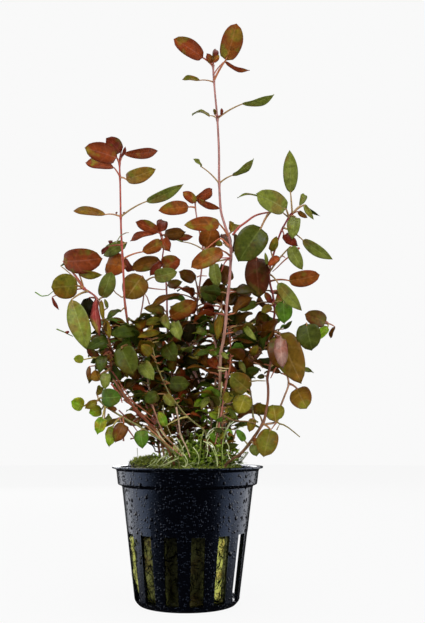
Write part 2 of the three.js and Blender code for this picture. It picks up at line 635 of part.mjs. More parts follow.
    big: [
      leaf([38.2, 142], [37.6, 149.7, -7], [37.3, 165.3, -14], 5.6, 5, "green"),
      leaf([37, 140.8], [36, 143.8, -8], [25.9, 149.3, -15], 8.0, 10, "green"),
      leaf([34.8, 137], [42, 132.6, -12], [52.6, 125.5, -18], 4.4, 15, "green"),
      leaf([29.8, 120.6], [37.6, 130.2, -13], [41.8, 122, -19], 4.8, 10, "green"),
      leaf([29.8, 120.6], [25, 126.2, -9], [26, 112.4, -14], 8.6, 5, "brown"),
      leaf([30, 117.5], [37, 117.7, -13], [48, 119.7, -19], 6.0, 10, "orange"),
      leaf([29.8, 120], [33, 116.8, -14], [41.3, 107, -21], 5.0, 10, "green"),
      leaf([31.2, 98.4], [33.6, 98, -14], [41.3, 80.6, -25], 10.0, 5, "olive"),
      leaf([31.1, 97.6], [32.9, 97, -19], [33.2, 86.3, -27], 7.3, 5, "brown"),
      leaf([27.5, 65.5], [30.2, 63.3, -20], [28, 54.1, -27], 7.4, 5, "olive"),
    ],
    small: [
      leaf([37.6, 141.3], [39.4, 141, -8], [38.3, 133.7, -14], 5.0, 10, "brown"),
      leaf([31.5, 109.5], [35, 109.9, -12], [35.3, 103.3, -17], 6.4, 5, "grass"),
      leaf([38, 142], [41, 145, -1], [43, 150.2, 4], 2.8, 10, "green"),
      leaf([38, 142], [40.4, 143, -7], [43.5, 140.8, -10], 2.0, 10, "dark"),
      leaf([38, 142], [42.5, 145.5, -3], [45.6, 140.5, -7], 2.2, 10, "green"),
      leaf([34.4, 136], [35.2, 134.5, -9], [39.3, 131, -14], 3.6, 10, "maroon"),
      leaf([31, 126], [30.4, 128.4, -9], [32.5, 133.8, -13], 3.2, 10, "olive"),
      leaf([30.6, 124.5], [33.4, 126.3, -15], [29.6, 123.4, -18], 3.0, 10, "rust"),
      leaf([31.5, 109.5], [30.4, 109.6, -10], [28.5, 113.2, -13], 2.4, 10, "maroon"),
      leaf([31.5, 109.5], [30.6, 108.4, -11], [27.4, 106.4, -14], 3.0, 10, "green"),
      leaf([31.5, 109.5], [25.3, 109.4, -9], [18.6, 107.4, -13], 3.6, 10, "green"),
      leaf([31, 98.8], [35, 100, -12], [38.1, 102.9, -15], 1.6, 10, "dark"),
      leaf([30.9, 98.4], [30.2, 98.7, -12], [25.8, 98.3, -15], 1.8, 10, "maroon"),
      leaf([27.4, 65.3], [26.2, 68.4, -11], [27, 73.6, -7], 4.8, 5, "olive"),
      leaf([23, 58.8], [24, 58, -21], [25.2, 53.8, -24], 3.8, 5, "green"),
    ],
    grown: [{ from: 0.45, to: 0.7, pairs: 2, length: 9, side: "back" }],
  },
  {
    name: "far_right",
    thick: 0.4,
    bark: BARK.pink,
    rootless: true,
    path: [
      [28.6, 65.2, -16], [32.6, 66.3, -13], [33.9, 71.6, -11], [35.2, 75, -10],
      [36.9, 80, -9], [36.3, 84, -8], [37.5, 91, -7], [40, 97, -7], [43.5, 100.8, -8],
      [47.3, 101.9, -9], [51.3, 102, -10],
    ],
    big: [
      leaf([51.2, 102], [50.6, 102.6, -13], [43.2, 105.2, -18], 5.9, 5, "brown"),
      leaf([43.5, 100.8], [43.4, 101.9, -19], [45.2, 93, -24], 8.2, 5, "grass"),
      leaf([36.9, 80], [39.9, 78.3, -13], [43.3, 71.3, -19], 7.9, 5, "orange"),
    ],
    small: [
      leaf([51.2, 102], [51.3, 100.8, -12], [47, 96.4, -14], 3.4, 10, "grass"),
      leaf([51.2, 102], [53.8, 100.8, -8], [52, 96.6, -6], 1.8, 30, "brown"),
      leaf([32.8, 66.6], [32.2, 66.4, -9], [31.4, 72.1, -4], 6.4, 5, "olive"),
    ],
    grown: [{ from: 0.45, to: 0.7, pairs: 2, length: 7, side: "back" }],
  },
  {
    name: "right_twig",
    thick: 0.35,
    bark: BARK.straw,
    rootless: true,
    path: [
      [25.6, 65.9, -16.6], [24.2, 67, -15.5], [23.7, 70, -14.5], [23.5, 73, -14],
      [22.9, 77, -13.5],
    ],
    big: [leaf([22.9, 77], [22.2, 77.6, -16], [16.2, 82.9, -21], 7.2, 5, "brown")],
    small: [
      leaf([23.4, 74], [21.4, 75.8, -10], [18.4, 69.6, -13], 6.4, 5, "olive"),
      leaf([24, 67.5], [23.9, 67.2, -18], [22.7, 63, -21], 3.0, 5, "olive"),
    ],
    grown: [],
  },
  {
    name: "back_left",
    thick: 0.5,
    bark: BARK.red,
    path: [
      [-9, 42, 9], [-10, 52, 11], [-12, 66, 16], [-15, 80, 21], [-18, 94, 25],
    ],
    big: [],
    small: [],
    grown: [{ from: 0.38, to: 1, pairs: 4, length: 15, side: "both" }],
  },
  {
    name: "back",
    thick: 0.5,
    bark: BARK.pink,
    path: [
      [1, 42, 13], [1, 55, 17], [0, 70, 23], [-2, 84, 29], [-4, 100, 33],
    ],
    big: [],
    small: [],
    grown: [{ from: 0.38, to: 1, pairs: 4, length: 15, side: "both" }],
  },
  {
    name: "back_right",
    thick: 0.5,
    bark: BARK.wine,
    path: [
      [9, 42, 8], [10.5, 55, 12], [14, 70, 18], [18, 84, 24], [21, 101, 28],
    ],
    big: [],
    small: [],
    grown: [{ from: 0.38, to: 1, pairs: 4, length: 15, side: "both" }],
  },
];

const plant = new THREE.Group();

function addPiece(name, solid, colour, roughness) {
  const material = new THREE.MeshStandardMaterial({ color: colour, roughness, metalness: 0 });
  const mesh = new THREE.Mesh(toGeometry(solid), material);
  mesh.name = name;
  plant.add(mesh);
}

const pot = makePot();
let plug = makePlug();
const curves = SHOOTS.map(shootCurve);
const stems = [];
const blades = [];
SHOOTS.forEach((shoot, i) => {
  if (!shoot.rootless) {
    plug = plug.subtract(makePocket(curves[i], shoot.thick));
  }
  const small = shoot.small.map((listed) => makeListedLeaf(shoot, curves[i], listed, true));
  stems.push(wasm.Manifold.union([makeStem(curves[i], shoot.thick), ...small]));
  shoot.big.forEach((listed, n) => {
    const solid = makeListedLeaf(shoot, curves[i], listed, false);
    blades.push({ name: `leaf_${shoot.name}_${n + 1}`, solid, tone: TONES[listed.tone] });
  });
});

// A grown leaf is left out where a neighbour fills its room
SHOOTS.forEach((shoot, own) => {
  for (const grown of shoot.grown.flatMap((stretch) => grownLeaves(curves[own], stretch))) {
    const room = makeLeaf(grown, GAP);
    const neighbours = [pot, plug, ...blades.map((blade) => blade.solid)];
    neighbours.push(...stems.filter((stem, i) => i !== own));
    if (neighbours.every((piece) => piece.intersect(room).isEmpty())) {
      stems[own] = stems[own].add(makeLeaf(grown));
    }
  }
});

addPiece("net_pot", slim(pot), BLACK_PLASTIC, 0.35);
addPiece("wool_plug", slim(plug), WOOL_GREEN, 0.95);
SHOOTS.forEach(({ name, bark }, i) => {
  addPiece(`stem_${name}`, slim(stems[i]), bark, 0.5);
});
blades.forEach(({ name, solid, tone }) => addPiece(name, solid, tone, 0.4));

export default plant;
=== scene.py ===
"""A potted bunch of red ludwigia palustris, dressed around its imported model.

Sizes are in millimetres, and a mesh is turned to metres as it is made. +Z is up, the front faces
-Y, and the origin is the centre of the pot's underside.
"""

import json
import logging
import math
from collections.abc import Callable, Sequence
from dataclasses import dataclass, field, replace
from enum import Enum
from typing import Any

import bpy
import numpy as np
from mathutils import Matrix, Vector

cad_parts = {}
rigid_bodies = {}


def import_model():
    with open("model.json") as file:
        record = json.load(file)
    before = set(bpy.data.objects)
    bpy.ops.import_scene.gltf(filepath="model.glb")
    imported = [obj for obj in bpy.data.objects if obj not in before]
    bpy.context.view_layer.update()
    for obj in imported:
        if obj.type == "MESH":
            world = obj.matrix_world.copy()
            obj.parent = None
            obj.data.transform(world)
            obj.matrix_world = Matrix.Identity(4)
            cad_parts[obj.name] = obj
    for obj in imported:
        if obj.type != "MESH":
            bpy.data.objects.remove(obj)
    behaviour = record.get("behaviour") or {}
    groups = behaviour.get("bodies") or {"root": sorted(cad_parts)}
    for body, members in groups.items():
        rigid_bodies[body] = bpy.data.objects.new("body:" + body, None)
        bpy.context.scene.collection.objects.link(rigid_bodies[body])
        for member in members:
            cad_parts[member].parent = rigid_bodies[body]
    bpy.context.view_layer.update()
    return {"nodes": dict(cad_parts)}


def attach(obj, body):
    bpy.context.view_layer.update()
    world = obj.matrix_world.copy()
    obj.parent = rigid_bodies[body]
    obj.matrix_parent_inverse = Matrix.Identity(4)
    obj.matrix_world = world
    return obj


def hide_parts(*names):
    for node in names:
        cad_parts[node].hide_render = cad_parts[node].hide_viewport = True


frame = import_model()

log = logging.getLogger("ludwigia")

MM = 0.001  # metres
BODY = "root"

Place = tuple[float, float, float]
Mesh = bpy.types.Mesh
Tree = bpy.types.NodeTree
Socket = bpy.types.NodeSocket


# Colours and nodes


def linear(colour: int) -> tuple[float, float, float, float]:
    """Turns an sRGB hex colour to linear RGBA.

    Args:
        colour: The colour as 0xRRGGBB.

    Returns:
        Red, green, blue and an alpha of 1.
    """
    shares = [((colour >> shift) & 255) / 255 for shift in (16, 8, 0)]
    light = [s / 12.92 if s <= 0.04045 else ((s + 0.055) / 1.055) ** 2.4 for s in shares]
    return (*light, 1.0)


def add(tree: Tree, kind: str, links: dict[Any, Any] | None = None, **settings: Any) -> Any:
    """Adds a node with its settings, values and links.

    Args:
        tree: The tree that gets the node.
        kind: The node's type name.
        links: For each input, by name or number, its value, or the socket, or the node whose
            first output is linked to it.
        **settings: The node's own properties.

    Returns:
        The new node.
    """
    node = tree.nodes.new(kind)
    for key, value in settings.items():
        setattr(node, key, value)
    for key, value in (links or {}).items():
        if isinstance(value, bpy.types.Node):
            tree.links.new(value.outputs[0], node.inputs[key])
        elif isinstance(value, Socket):
            tree.links.new(value, node.inputs[key])
        else:
            node.inputs[key].default_value = value
    return node


# Finishes


class Finish:
    """A finish: its material's name, and what lays the nodes of its surface."""

    name: str

    def surface(self, tree: Tree) -> Any:
        """Lays the nodes of the surface.

        Args:
            tree: The material's tree, still empty.

        Returns:
            The shader that is seen.
        """
        raise NotImplementedError

    def build(self) -> bpy.types.Material:
        """Makes the material.

        Returns:
            The material, named for what it is in life.
        """
        material = bpy.data.materials.new(self.name)
        material.use_nodes = True
        tree = material.node_tree
        tree.nodes.clear()
        add(tree, "ShaderNodeOutputMaterial", {"Surface": self.surface(tree)})
        return material


@dataclass(frozen=True)
class LeafTissue(Finish):
    """Thin wet leaf: light shines through it, the veins are paler, and the wet skin glints."""

    name: str = "ludwigia_leaf"
    vein_pairs: int = 6
    blotch: float = 1.6  # mm between the blotches of the pigment
    patch: float = 6.0  # mm between the patches that are greener or redder
    greener: int = 0x6F7822
    redder: int = 0x7C3410
    skin_grain: float = 0.35  # mm between the bulges of the skin
    glow: float = 0.34  # share of the light that comes through from behind

    def surface(self, tree: Tree) -> Any:
        """Lays the nodes, which read each leaf's tints and the place on its blade.

        Args:
            tree: The material's tree, still empty.

        Returns:
            The shader that is seen.
        """
        centre, edge, rib = (
            add(tree, "ShaderNodeAttribute", attribute_name=name).outputs["Color"]
            for name in ("centre", "edge", "rib")
        )
        blade_map = add(tree, "ShaderNodeUVMap", uv_map="UVMap")
        place = add(tree, "ShaderNodeSeparateXYZ", {0: blade_map})
        side = place.outputs[0]
        for operation, value in (("SUBTRACT", 0.5), ("ABSOLUTE", 0.0), ("MULTIPLY", 2.0)):
            side = add(tree, "ShaderNodeMath", {0: side, 1: value}, operation=operation)
        spot = add(tree, "ShaderNodeTexCoord").outputs["Object"]
        grains = {"Vector": spot, "Scale": 1 / (self.blotch * MM), "Detail": 3.0, "Roughness": 0.6}
        blotches = add(tree, "ShaderNodeTexNoise", grains)
        # The pigment leaves the middle of the blade and gathers at its edge
        drift = add(tree, "ShaderNodeMath", {0: blotches, 1: 0.5}, operation="SUBTRACT")
        drift = add(tree, "ShaderNodeMath", {0: drift, 1: 1.5, 2: side}, operation="MULTIPLY_ADD")
        limits = {"Value": drift, "From Min": 0.35, "From Max": 1.05}
        rim = add(tree, "ShaderNodeMapRange", limits, interpolation_type="SMOOTHSTEP")
        mix = {0: rim, 6: centre, 7: edge}
        blade = add(tree, "ShaderNodeMix", mix, data_type="RGBA").outputs[2]
        # Patches turn greener or redder, but not lighter
        for shift, hue, share in ((0.0, self.greener, 0.6), (0.3, self.redder, 0.36)):
            moved = add(tree, "ShaderNodeMapping", {"Vector": spot, "Location": (shift, 0, 0)})
            grains = {"Vector": moved, "Scale": 1 / (self.patch * MM)}
            patch = add(tree, "ShaderNodeTexNoise", grains)
            limits = {"Value": patch, "From Min": 0.5, "From Max": 0.66, "To Max": share}
            patch = add(tree, "ShaderNodeMapRange", limits, interpolation_type="SMOOTHSTEP")
            mix = {0: patch, 6: blade, 7: linear(hue)}
            blade = add(tree, "ShaderNodeMix", mix, data_type="RGBA", blend_type="COLOR").outputs[2]
        # Side veins run out and forward from the midrib
        along = {0: place.outputs[1], 1: float(self.vein_pairs)}
        steps = add(tree, "ShaderNodeMath", along, operation="MULTIPLY")
        steps = add(tree, "ShaderNodeMath", {0: side, 1: -1.3, 2: steps}, operation="MULTIPLY_ADD")
        wave = add(tree, "ShaderNodeMath", {0: steps, 1: 1.0}, operation="PINGPONG")
        vein, midrib = (
            add(
                tree,
                "ShaderNodeMapRange",
                {"Value": way, "From Min": near, "From Max": far, "To Min": most, "To Max": 0.0},
            )
            for way, near, far, most in ((wave, 0.0, 0.22, 0.18), (side, 0.02, 0.09, 0.42))
        )
        lines = add(tree, "ShaderNodeMath", {0: vein, 1: midrib}, operation="MAXIMUM")
        veined = add(tree, "ShaderNodeMix", {0: lines, 6: blade, 7: rib}, data_type="RGBA")
        limits = {"From Min": 0.3, "From Max": 0.7, "To Min": 0.62, "To Max": 1.3}
        shade = add(tree, "ShaderNodeMapRange", {"Value": blotches, **limits})
        shade = add(tree, "ShaderNodeCombineXYZ", {0: shade, 1: shade, 2: shade})
        mix = {0: 1.0, 6: veined.outputs[2], 7: shade}
        colour = add(tree, "ShaderNodeMix", mix, data_type="RGBA", blend_type="MULTIPLY").outputs[2]
        grains = {"Vector": spot, "Scale": 1 / (self.skin_grain * MM), "Detail": 2.0}
        grain = add(tree, "ShaderNodeTexNoise", grains)
        relief = {0: lines, 1: -1.2, 2: grain}
        relief = add(tree, "ShaderNodeMath", relief, operation="MULTIPLY_ADD")
        bump = add(
            tree, "ShaderNodeBump", {"Height": relief, "Strength": 0.5, "Distance": 0.1 * MM}
        )
        limits = {"From Min": 0.35, "From Max": 0.65, "To Min": 0.34, "To Max": 0.6}
        skin = add(
            tree,
            "ShaderNodeBsdfPrincipled",
            {
                "Base Color": colour,
                "Roughness": add(tree, "ShaderNodeMapRange", {"Value": blotches, **limits}),
                "Normal": bump,
                "IOR": 1.42,
                "Specular IOR Level": 0.27,
            },
        )
        inner = add(tree, "ShaderNodeBsdfTranslucent", {"Color": colour, "Normal": bump})
        return add(tree, "ShaderNodeMixShader", {0: self.glow, 1: skin, 2: inner})


@dataclass(frozen=True)
class StemBark(Finish):
    """Smooth wet stem skin, pinkish red with darker streaks along it and a soft sheen."""

    name: str = "stem_bark"
    streak: float = 0.5  # mm across a streak
    stretch: float = 0.12  # a streak's width as a share of its length
    glow: float = 0.2  # share of the light that comes through from behind

    def surface(self, tree: Tree) -> Any:
        """Lays the nodes, which read the tint along each stem.

        Args:
            tree: The material's tree, still empty.

        Returns:
            The shader that is seen.
        """
        tint = add(tree, "ShaderNodeAttribute", attribute_name="centre").outputs["Color"]
        spot = add(tree, "ShaderNodeTexCoord").outputs["Object"]
        drawn = add(tree, "ShaderNodeMapping", {"Vector": spot, "Scale": (1.0, 1.0, self.stretch)})
        grains = {"Vector": drawn, "Scale": 1 / (self.streak * MM), "Detail": 2.0}
        streaks = add(tree, "ShaderNodeTexNoise", grains)
        limits = {"From Min": 0.3, "From Max": 0.7, "To Min": 0.62, "To Max": 1.25}
        shade = add(tree, "ShaderNodeMapRange", {"Value": streaks, **limits})
        shade = add(tree, "ShaderNodeCombineXYZ", {0: shade, 1: shade, 2: shade})
        mix = {0: 1.0, 6: tint, 7: shade}
        colour = add(tree, "ShaderNodeMix", mix, data_type="RGBA", blend_type="MULTIPLY").outputs[2]
        bump = add(
            tree, "ShaderNodeBump", {"Height": streaks, "Strength": 0.3, "Distance": 0.08 * MM}
        )
        look = {"Base Color": colour, "Roughness": 0.36, "Normal": bump, "IOR": 1.42}
        skin = add(tree, "ShaderNodeBsdfPrincipled", look)
        inner = add(tree, "ShaderNodeBsdfTranslucent", {"Color": colour})
        return add(tree, "ShaderNodeMixShader", {0: self.glow, 1: skin, 2: inner})


@dataclass(frozen=True)
class BlackPolypropylene(Finish):
    """Injection-moulded black polypropylene: near black, with a bluish half-matt sheen.

    Its wet skin is beaded, so that it glints in the dark and is dotted dark where it shines.
    """

    name: str = "black_polypropylene"
    colour: int = 0x020204
    sheen: int = 0xACCAFF
    grain: float = 0.5  # mm between the flow marks of the mould
    roughness: float = 0.25
    wet_roughness: float = 0.06
    # Fine and coarse beads: mm between them, and mm radius of the largest
    beads: tuple[tuple[float, float], ...] = ((1.0, 0.42), (1.9, 0.78))

    def surface(self, tree: Tree) -> Any:
        """Lays the nodes: plastic under domes of water.

        Args:
            tree: The material's tree, still empty.

        Returns:
            The shader that is seen.
        """
        spot = add(tree, "ShaderNodeTexCoord").outputs["Object"]
        grains = {"Vector": spot, "Scale": 1 / (self.grain * MM), "Detail": 3.0}
        flow = add(tree, "ShaderNodeTexNoise", grains)
        heights = []
        for between, largest in self.beads:
            cells = add(tree, "ShaderNodeTexVoronoi", {"Vector": spot, "Scale": 1 / (between * MM)})
            chance = add(tree, "ShaderNodeSeparateXYZ", {0: cells.outputs["Color"]})
            limits = {"Value": chance, "To Min": 0.08, "To Max": largest / between}
            radius = add(tree, "ShaderNodeMapRange", limits)
            share = {0: cells.outputs["Distance"], 1: radius}
            away = add(tree, "ShaderNodeMath", share, operation="DIVIDE")
            away = add(tree, "ShaderNodeMath", {0: away, 1: 2.0}, operation="POWER")
            cap = {0: 1.0, 1: away}
            cap = add(tree, "ShaderNodeMath", cap, operation="SUBTRACT", use_clamp=True)
            for operation, value in (("POWER", 0.6), ("MULTIPLY", radius), ("MULTIPLY", between)):
                cap = add(tree, "ShaderNodeMath", {0: cap, 1: value}, operation=operation)
            heights.append(cap)
        height = add(tree, "ShaderNodeMath", {0: heights[0], 1: heights[1]}, operation="MAXIMUM")
        # A bead is smooth from 0.04 mm of height, and hides the plastic's sheen from 0.26 mm
        bead, core = (
            add(tree, "ShaderNodeMath", {0: height, 1: least}, operation="GREATER_THAN")
            for least in (0.04, 0.26)
        )
        shine = add(tree, "ShaderNodeMapRange", {"Value": core, "To Min": 0.5, "To Max": 0.06})
        limits = {"Value": bead, "To Min": self.roughness, "To Max": self.wet_roughness}
        gloss = add(tree, "ShaderNodeMapRange", limits)
        relief = {0: flow, 1: 0.02, 2: height}
        relief = add(tree, "ShaderNodeMath", relief, operation="MULTIPLY_ADD")
        bump = add(tree, "ShaderNodeBump", {"Height": relief, "Strength": 1.0, "Distance": MM})
        look = {
            "Base Color": linear(self.colour),
            "Roughness": gloss,
            "Normal": bump,
            "IOR": 1.49,
            "Specular IOR Level": shine,
            "Specular Tint": linear(self.sheen),
        }
        return add(tree, "ShaderNodeBsdfPrincipled", look)


@dataclass(frozen=True)
class MineralWool(Finish):
    """Soaked spun mineral wool grown over with algae: olive green, fibrous, dull but wet."""

    name: str = "soaked_mineral_wool"
    light: int = 0x8B8E45
    dark: int = 0x4A4D1C
    brown: int = 0x6B5424
    fibre: float = 0.45  # mm between fibres, coarser than the real 0.01 mm so that they show
    clump: float = 5.0  # mm between algae patches

    def surface(self, tree: Tree) -> Any:
        """Lays the nodes, which read the painted shade and light that the wool gets in each slot.

        Args:
            tree: The material's tree, still empty.

        Returns:
            The shader that is seen.
        """
        spot = add(tree, "ShaderNodeTexCoord").outputs["Object"]
        laid = add(tree, "ShaderNodeMapping", {"Vector": spot, "Scale": (0.4, 0.4, 1.0)})
        grains = {"Vector": laid, "Scale": 1 / (self.fibre * MM), "Detail": 4.0, "Distortion": 1.2}
        fibres = add(tree, "ShaderNodeTexNoise", grains)
        grains = {"Vector": spot, "Scale": 1 / (self.clump * MM), "Detail": 3.0}
        patches = add(tree, "ShaderNodeTexNoise", grains)
        mix = {0: fibres, 6: linear(self.dark), 7: linear(self.light)}
        green = add(tree, "ShaderNodeMix", mix, data_type="RGBA").outputs[2]
        limits = {"Value": patches, "From Min": 0.5, "From Max": 0.72, "To Max": 0.75}
        patch = add(tree, "ShaderNodeMapRange", limits)
        mix = {0: patch, 6: green, 7: linear(self.brown)}
        colour = add(tree, "ShaderNodeMix", mix, data_type="RGBA").outputs[2]
        # Painted shade and light: each point's shade value darkens or lightens the wool
        shade = add(tree, "ShaderNodeAttribute", attribute_name="shade").outputs["Fac"]
        shade = add(tree, "ShaderNodeCombineXYZ", {0: shade, 1: shade, 2: shade})
        mix = {0: 1.0, 6: colour, 7: shade}
        colour = add(tree, "ShaderNodeMix", mix, data_type="RGBA", blend_type="MULTIPLY").outputs[2]
        bump = add(
            tree, "ShaderNodeBump", {"Height": fibres, "Strength": 0.9, "Distance": 0.3 * MM}
        )
        look = {"Base Color": colour, "Roughness": 0.55, "Normal": bump, "IOR": 1.36}
        return add(tree, "ShaderNodeBsdfPrincipled", look)


@dataclass(frozen=True)
class SoftGrowth(Finish):
    """Fine soft tissue in two shades that blend from clump to clump: moss, or pale young roots."""

    name: str
    light: int
    dark: int
    clump: float = 2.5  # mm between light and dark clumps
    glow: float = 0.35

    def surface(self, tree: Tree) -> Any:
        """Lays the nodes.

        Args:
            tree: The material's tree, still empty.

        Returns:
            The shader that is seen.
        """
        spot = add(tree, "ShaderNodeTexCoord").outputs["Object"]
        grains = {"Vector": spot, "Scale": 1 / (self.clump * MM), "Detail": 2.0}
        clumps = add(tree, "ShaderNodeTexNoise", grains)
        limits = {"Value": clumps, "From Min": 0.35, "From Max": 0.65}
        share = add(tree, "ShaderNodeMapRange", limits)
        mix = {0: share, 6: linear(self.dark), 7: linear(self.light)}
        colour = add(tree, "ShaderNodeMix", mix, data_type="RGBA").outputs[2]
        look = {"Base Color": colour, "Roughness": 0.4, "IOR": 1.4}
        skin = add(tree, "ShaderNodeBsdfPrincipled", look)
        inner = add(tree, "ShaderNodeBsdfTranslucent", {"Color": colour})
        return add(tree, "ShaderNodeMixShader", {0: self.glow, 1: skin, 2: inner})


@dataclass(frozen=True)
class StudioPaper(Finish):
    """Evenly lit white paper, so that the floor joins the background and shows a faint shadow."""

    name: str = "matt_paper"
    paper: int = 0xF9F9F9
    glow: float = 0.975
    grey: float = 0.02

    def surface(self, tree: Tree) -> Any:
        """Lays the nodes.

        Args:
            tree: The material's tree, still empty.

        Returns:
            The shader that is seen.
        """
        glow = add(tree, "ShaderNodeEmission", {0: linear(self.paper), 1: self.glow})
        paper = add(tree, "ShaderNodeBsdfDiffuse", {0: (self.grey, self.grey, self.grey, 1.0)})
        return add(tree, "ShaderNodeAddShader", {0: glow, 1: paper})


# Meshes and geometry trees


def around(turn: float, radius: float = 1.0, height: float = 0.0) -> np.ndarray:
    """Returns the point at a turn about the upright axis, in radians, at a radius and a height."""
    return np.array([radius * math.cos(turn), radius * math.sin(turn), height])


def new_mesh(
    name: str,
    points: Sequence[Any] | np.ndarray,
    edges: Sequence[Sequence[int]] = (),
    faces: Sequence[Sequence[int]] = (),
    smooth: bool = False,
    **layers: tuple[str, np.ndarray],
) -> Mesh:
    """Makes a mesh with values at its points.

    Args:
        name: The mesh's name.
        points: Three millimetres for each point.
        edges: Pairs of point numbers.
        faces: Rings of point numbers.
        smooth: Whether the faces are shaded smooth.
        **layers: For each attribute, its type and one value for each point.

    Returns:
        The mesh, in metres.
    """
    mesh = bpy.data.meshes.new(name)
    mesh.from_pydata((np.asarray(points, float) * MM).tolist(), edges, faces)
    key = {"FLOAT": "value", "INT": "value", "BOOLEAN": "value", "FLOAT_VECTOR": "vector"}
    for label, (kind, values) in layers.items():
        layer = mesh.attributes.new(label, kind, "POINT")
        layer.data.foreach_set(key.get(kind, "color"), np.ravel(values))
    if smooth:
        mesh.polygons.foreach_set("use_smooth", [True] * len(mesh.polygons))
    return mesh


def ring_faces(rings: int, sides: int, inwards: bool = False) -> list[tuple[int, ...]]:
    """Joins a point, rings of points and a last point to a closed skin.

    Args:
        rings: How many rings there are.
        sides: How many points a ring has.
        inwards: Whether the faces run the other way round.

    Returns:
        The faces as rings of point numbers.
    """
    faces: list[tuple[int, ...]] = []
    last = 1 + (rings - 1) * sides
    for k in range(sides):
        after = (k + 1) % sides
        strip: list[tuple[int, ...]] = [(0, 1 + after, 1 + k)]
        for start in range(1, last, sides):
            a, b = start + k, start + after
            strip.append((a, b, b + sides, a + sides))
        strip.append((last + after, last + sides, last + k))
        faces += [(face[0], *face[:0:-1]) for face in strip] if inwards else strip
    return faces


def new_tree(name: str, inputs: dict[str, str]) -> tuple[Tree, Any]:
    """Makes a geometry tree that takes and gives one geometry.

    Args:
        name: The tree's name.
        inputs: For each further input, its name and the kind of its socket.

    Returns:
        The tree, and what it is given: its inputs by their names.
    """
    tree = bpy.data.node_groups.new(name, "GeometryNodeTree")
    for label, kind in {"Geometry": "Geometry", **inputs}.items():
        tree.interface.new_socket(label, in_out="INPUT", socket_type=f"NodeSocket{kind}")
    tree.interface.new_socket("Geometry", in_out="OUTPUT", socket_type="NodeSocketGeometry")
    return tree, tree.nodes.new("NodeGroupInput").outputs


def grow(mesh: Mesh, tree: Tree, inputs: dict[str, Any]) -> Mesh:
    """Runs a geometry tree on a mesh.

    Args:
        mesh: The mesh that the tree starts from.
        tree: The geometry tree.
        inputs: Values for the tree's named inputs.

    Returns:
        The plain mesh that comes out, which no modifier holds any more.
    """
    seed = bpy.data.objects.new(mesh.name + "_seed", mesh)
    bpy.context.scene.collection.objects.link(seed)
    modifier = seed.modifiers.new(tree.name, "NODES")
    modifier.node_group = tree
    for item in tree.interface.items_tree:
        if item.in_out == "INPUT" and item.name in inputs:
            modifier[item.identifier] = inputs[item.name]
    depsgraph = bpy.context.evaluated_depsgraph_get()
    grown = bpy.data.meshes.new_from_object(
        seed.evaluated_get(depsgraph), preserve_all_data_layers=True, depsgraph=depsgraph
    )
    bpy.data.objects.remove(seed)
    for index in reversed(range(len(grown.materials))):
        if grown.materials[index] is None:
            grown.materials.pop(index=index)
    return grown


def place_piece(name: str, mesh: Mesh, replaces: Sequence[str] = ()) -> None:
    """Shows a finished mesh as a piece of the plant.

    Args:
        name: The piece's name.
        mesh: Its mesh, already in place.
        replaces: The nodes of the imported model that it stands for.
    """
    piece = bpy.data.objects.new(name, mesh)
    bpy.context.scene.collection.objects.link(piece)
    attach(piece, BODY)
    if replaces:
        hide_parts(*replaces)
    log.info("%s: %d faces", name, len(mesh.polygons))


def make_forms(name: str, builders: Sequence[Callable[[str], Mesh]]) -> bpy.types.Collection:
    """Makes a collection of forms that a tree picks from by number.

    Args:
        name: The collection's name.
        builders: For each form, what makes its mesh.

    Returns:
        The collection, which isn't part of the scene.
    """
    forms = bpy.data.collections.new(name)
    for number, builder in enumerate(builders):
        label = f"{name}_{number:02d}"
        forms.objects.link(bpy.data.objects.new(label, builder(label)))
    return forms


def drop_forms(forms: bpy.types.Collection) -> None:
    """Removes a collection of forms.

    Args:
        forms: The collection.
    """
    for form in list(forms.objects):
        bpy.data.objects.remove(form)
    bpy.data.collections.remove(forms)


def stand_forms(tree: Tree, forms: Socket, finish: Socket, links: dict[str, Any]) -> Any:
    """Adds the nodes that stand a form on each point, as real faces of one material.

    Args:
        tree: The geometry tree.
        forms: The collection of forms.
        finish: The forms' material.
        links: The points, and each one's form number, rotation and scale.

    Returns:
        The last of the nodes.
    """
    picks = {"Collection": forms, "Separate Children": True, "Reset Children": True}
    picked = add(tree, "GeometryNodeCollectionInfo", picks)
    links = {"Instance": picked, "Pick Instance": True, **links}
    stood = add(tree, "GeometryNodeInstanceOnPoints", links)
    stood = add(tree, "GeometryNodeRealizeInstances", {"Geometry": stood})
    return add(tree, "GeometryNodeSetMaterial", {"Geometry": stood, "Material": finish})


# What each point of a shoot's wires holds: the type, and the value of a point that has none
LAYERS = {
    "is_leaf": ("BOOLEAN", False),
    "radius": ("FLOAT", 0.0),
    "form": ("INT", 0),
    "facing": ("FLOAT_VECTOR", (0.0, 0.0, 0.0)),
    "size": ("FLOAT_VECTOR", (0.0, 0.0, 0.0)),
    "centre": ("FLOAT_COLOR", (0.0, 0.0, 0.0, 1.0)),
    "edge": ("FLOAT_COLOR", (0.0, 0.0, 0.0, 1.0)),
    "rib": ("FLOAT_COLOR", (0.0, 0.0, 0.0, 1.0)),
}


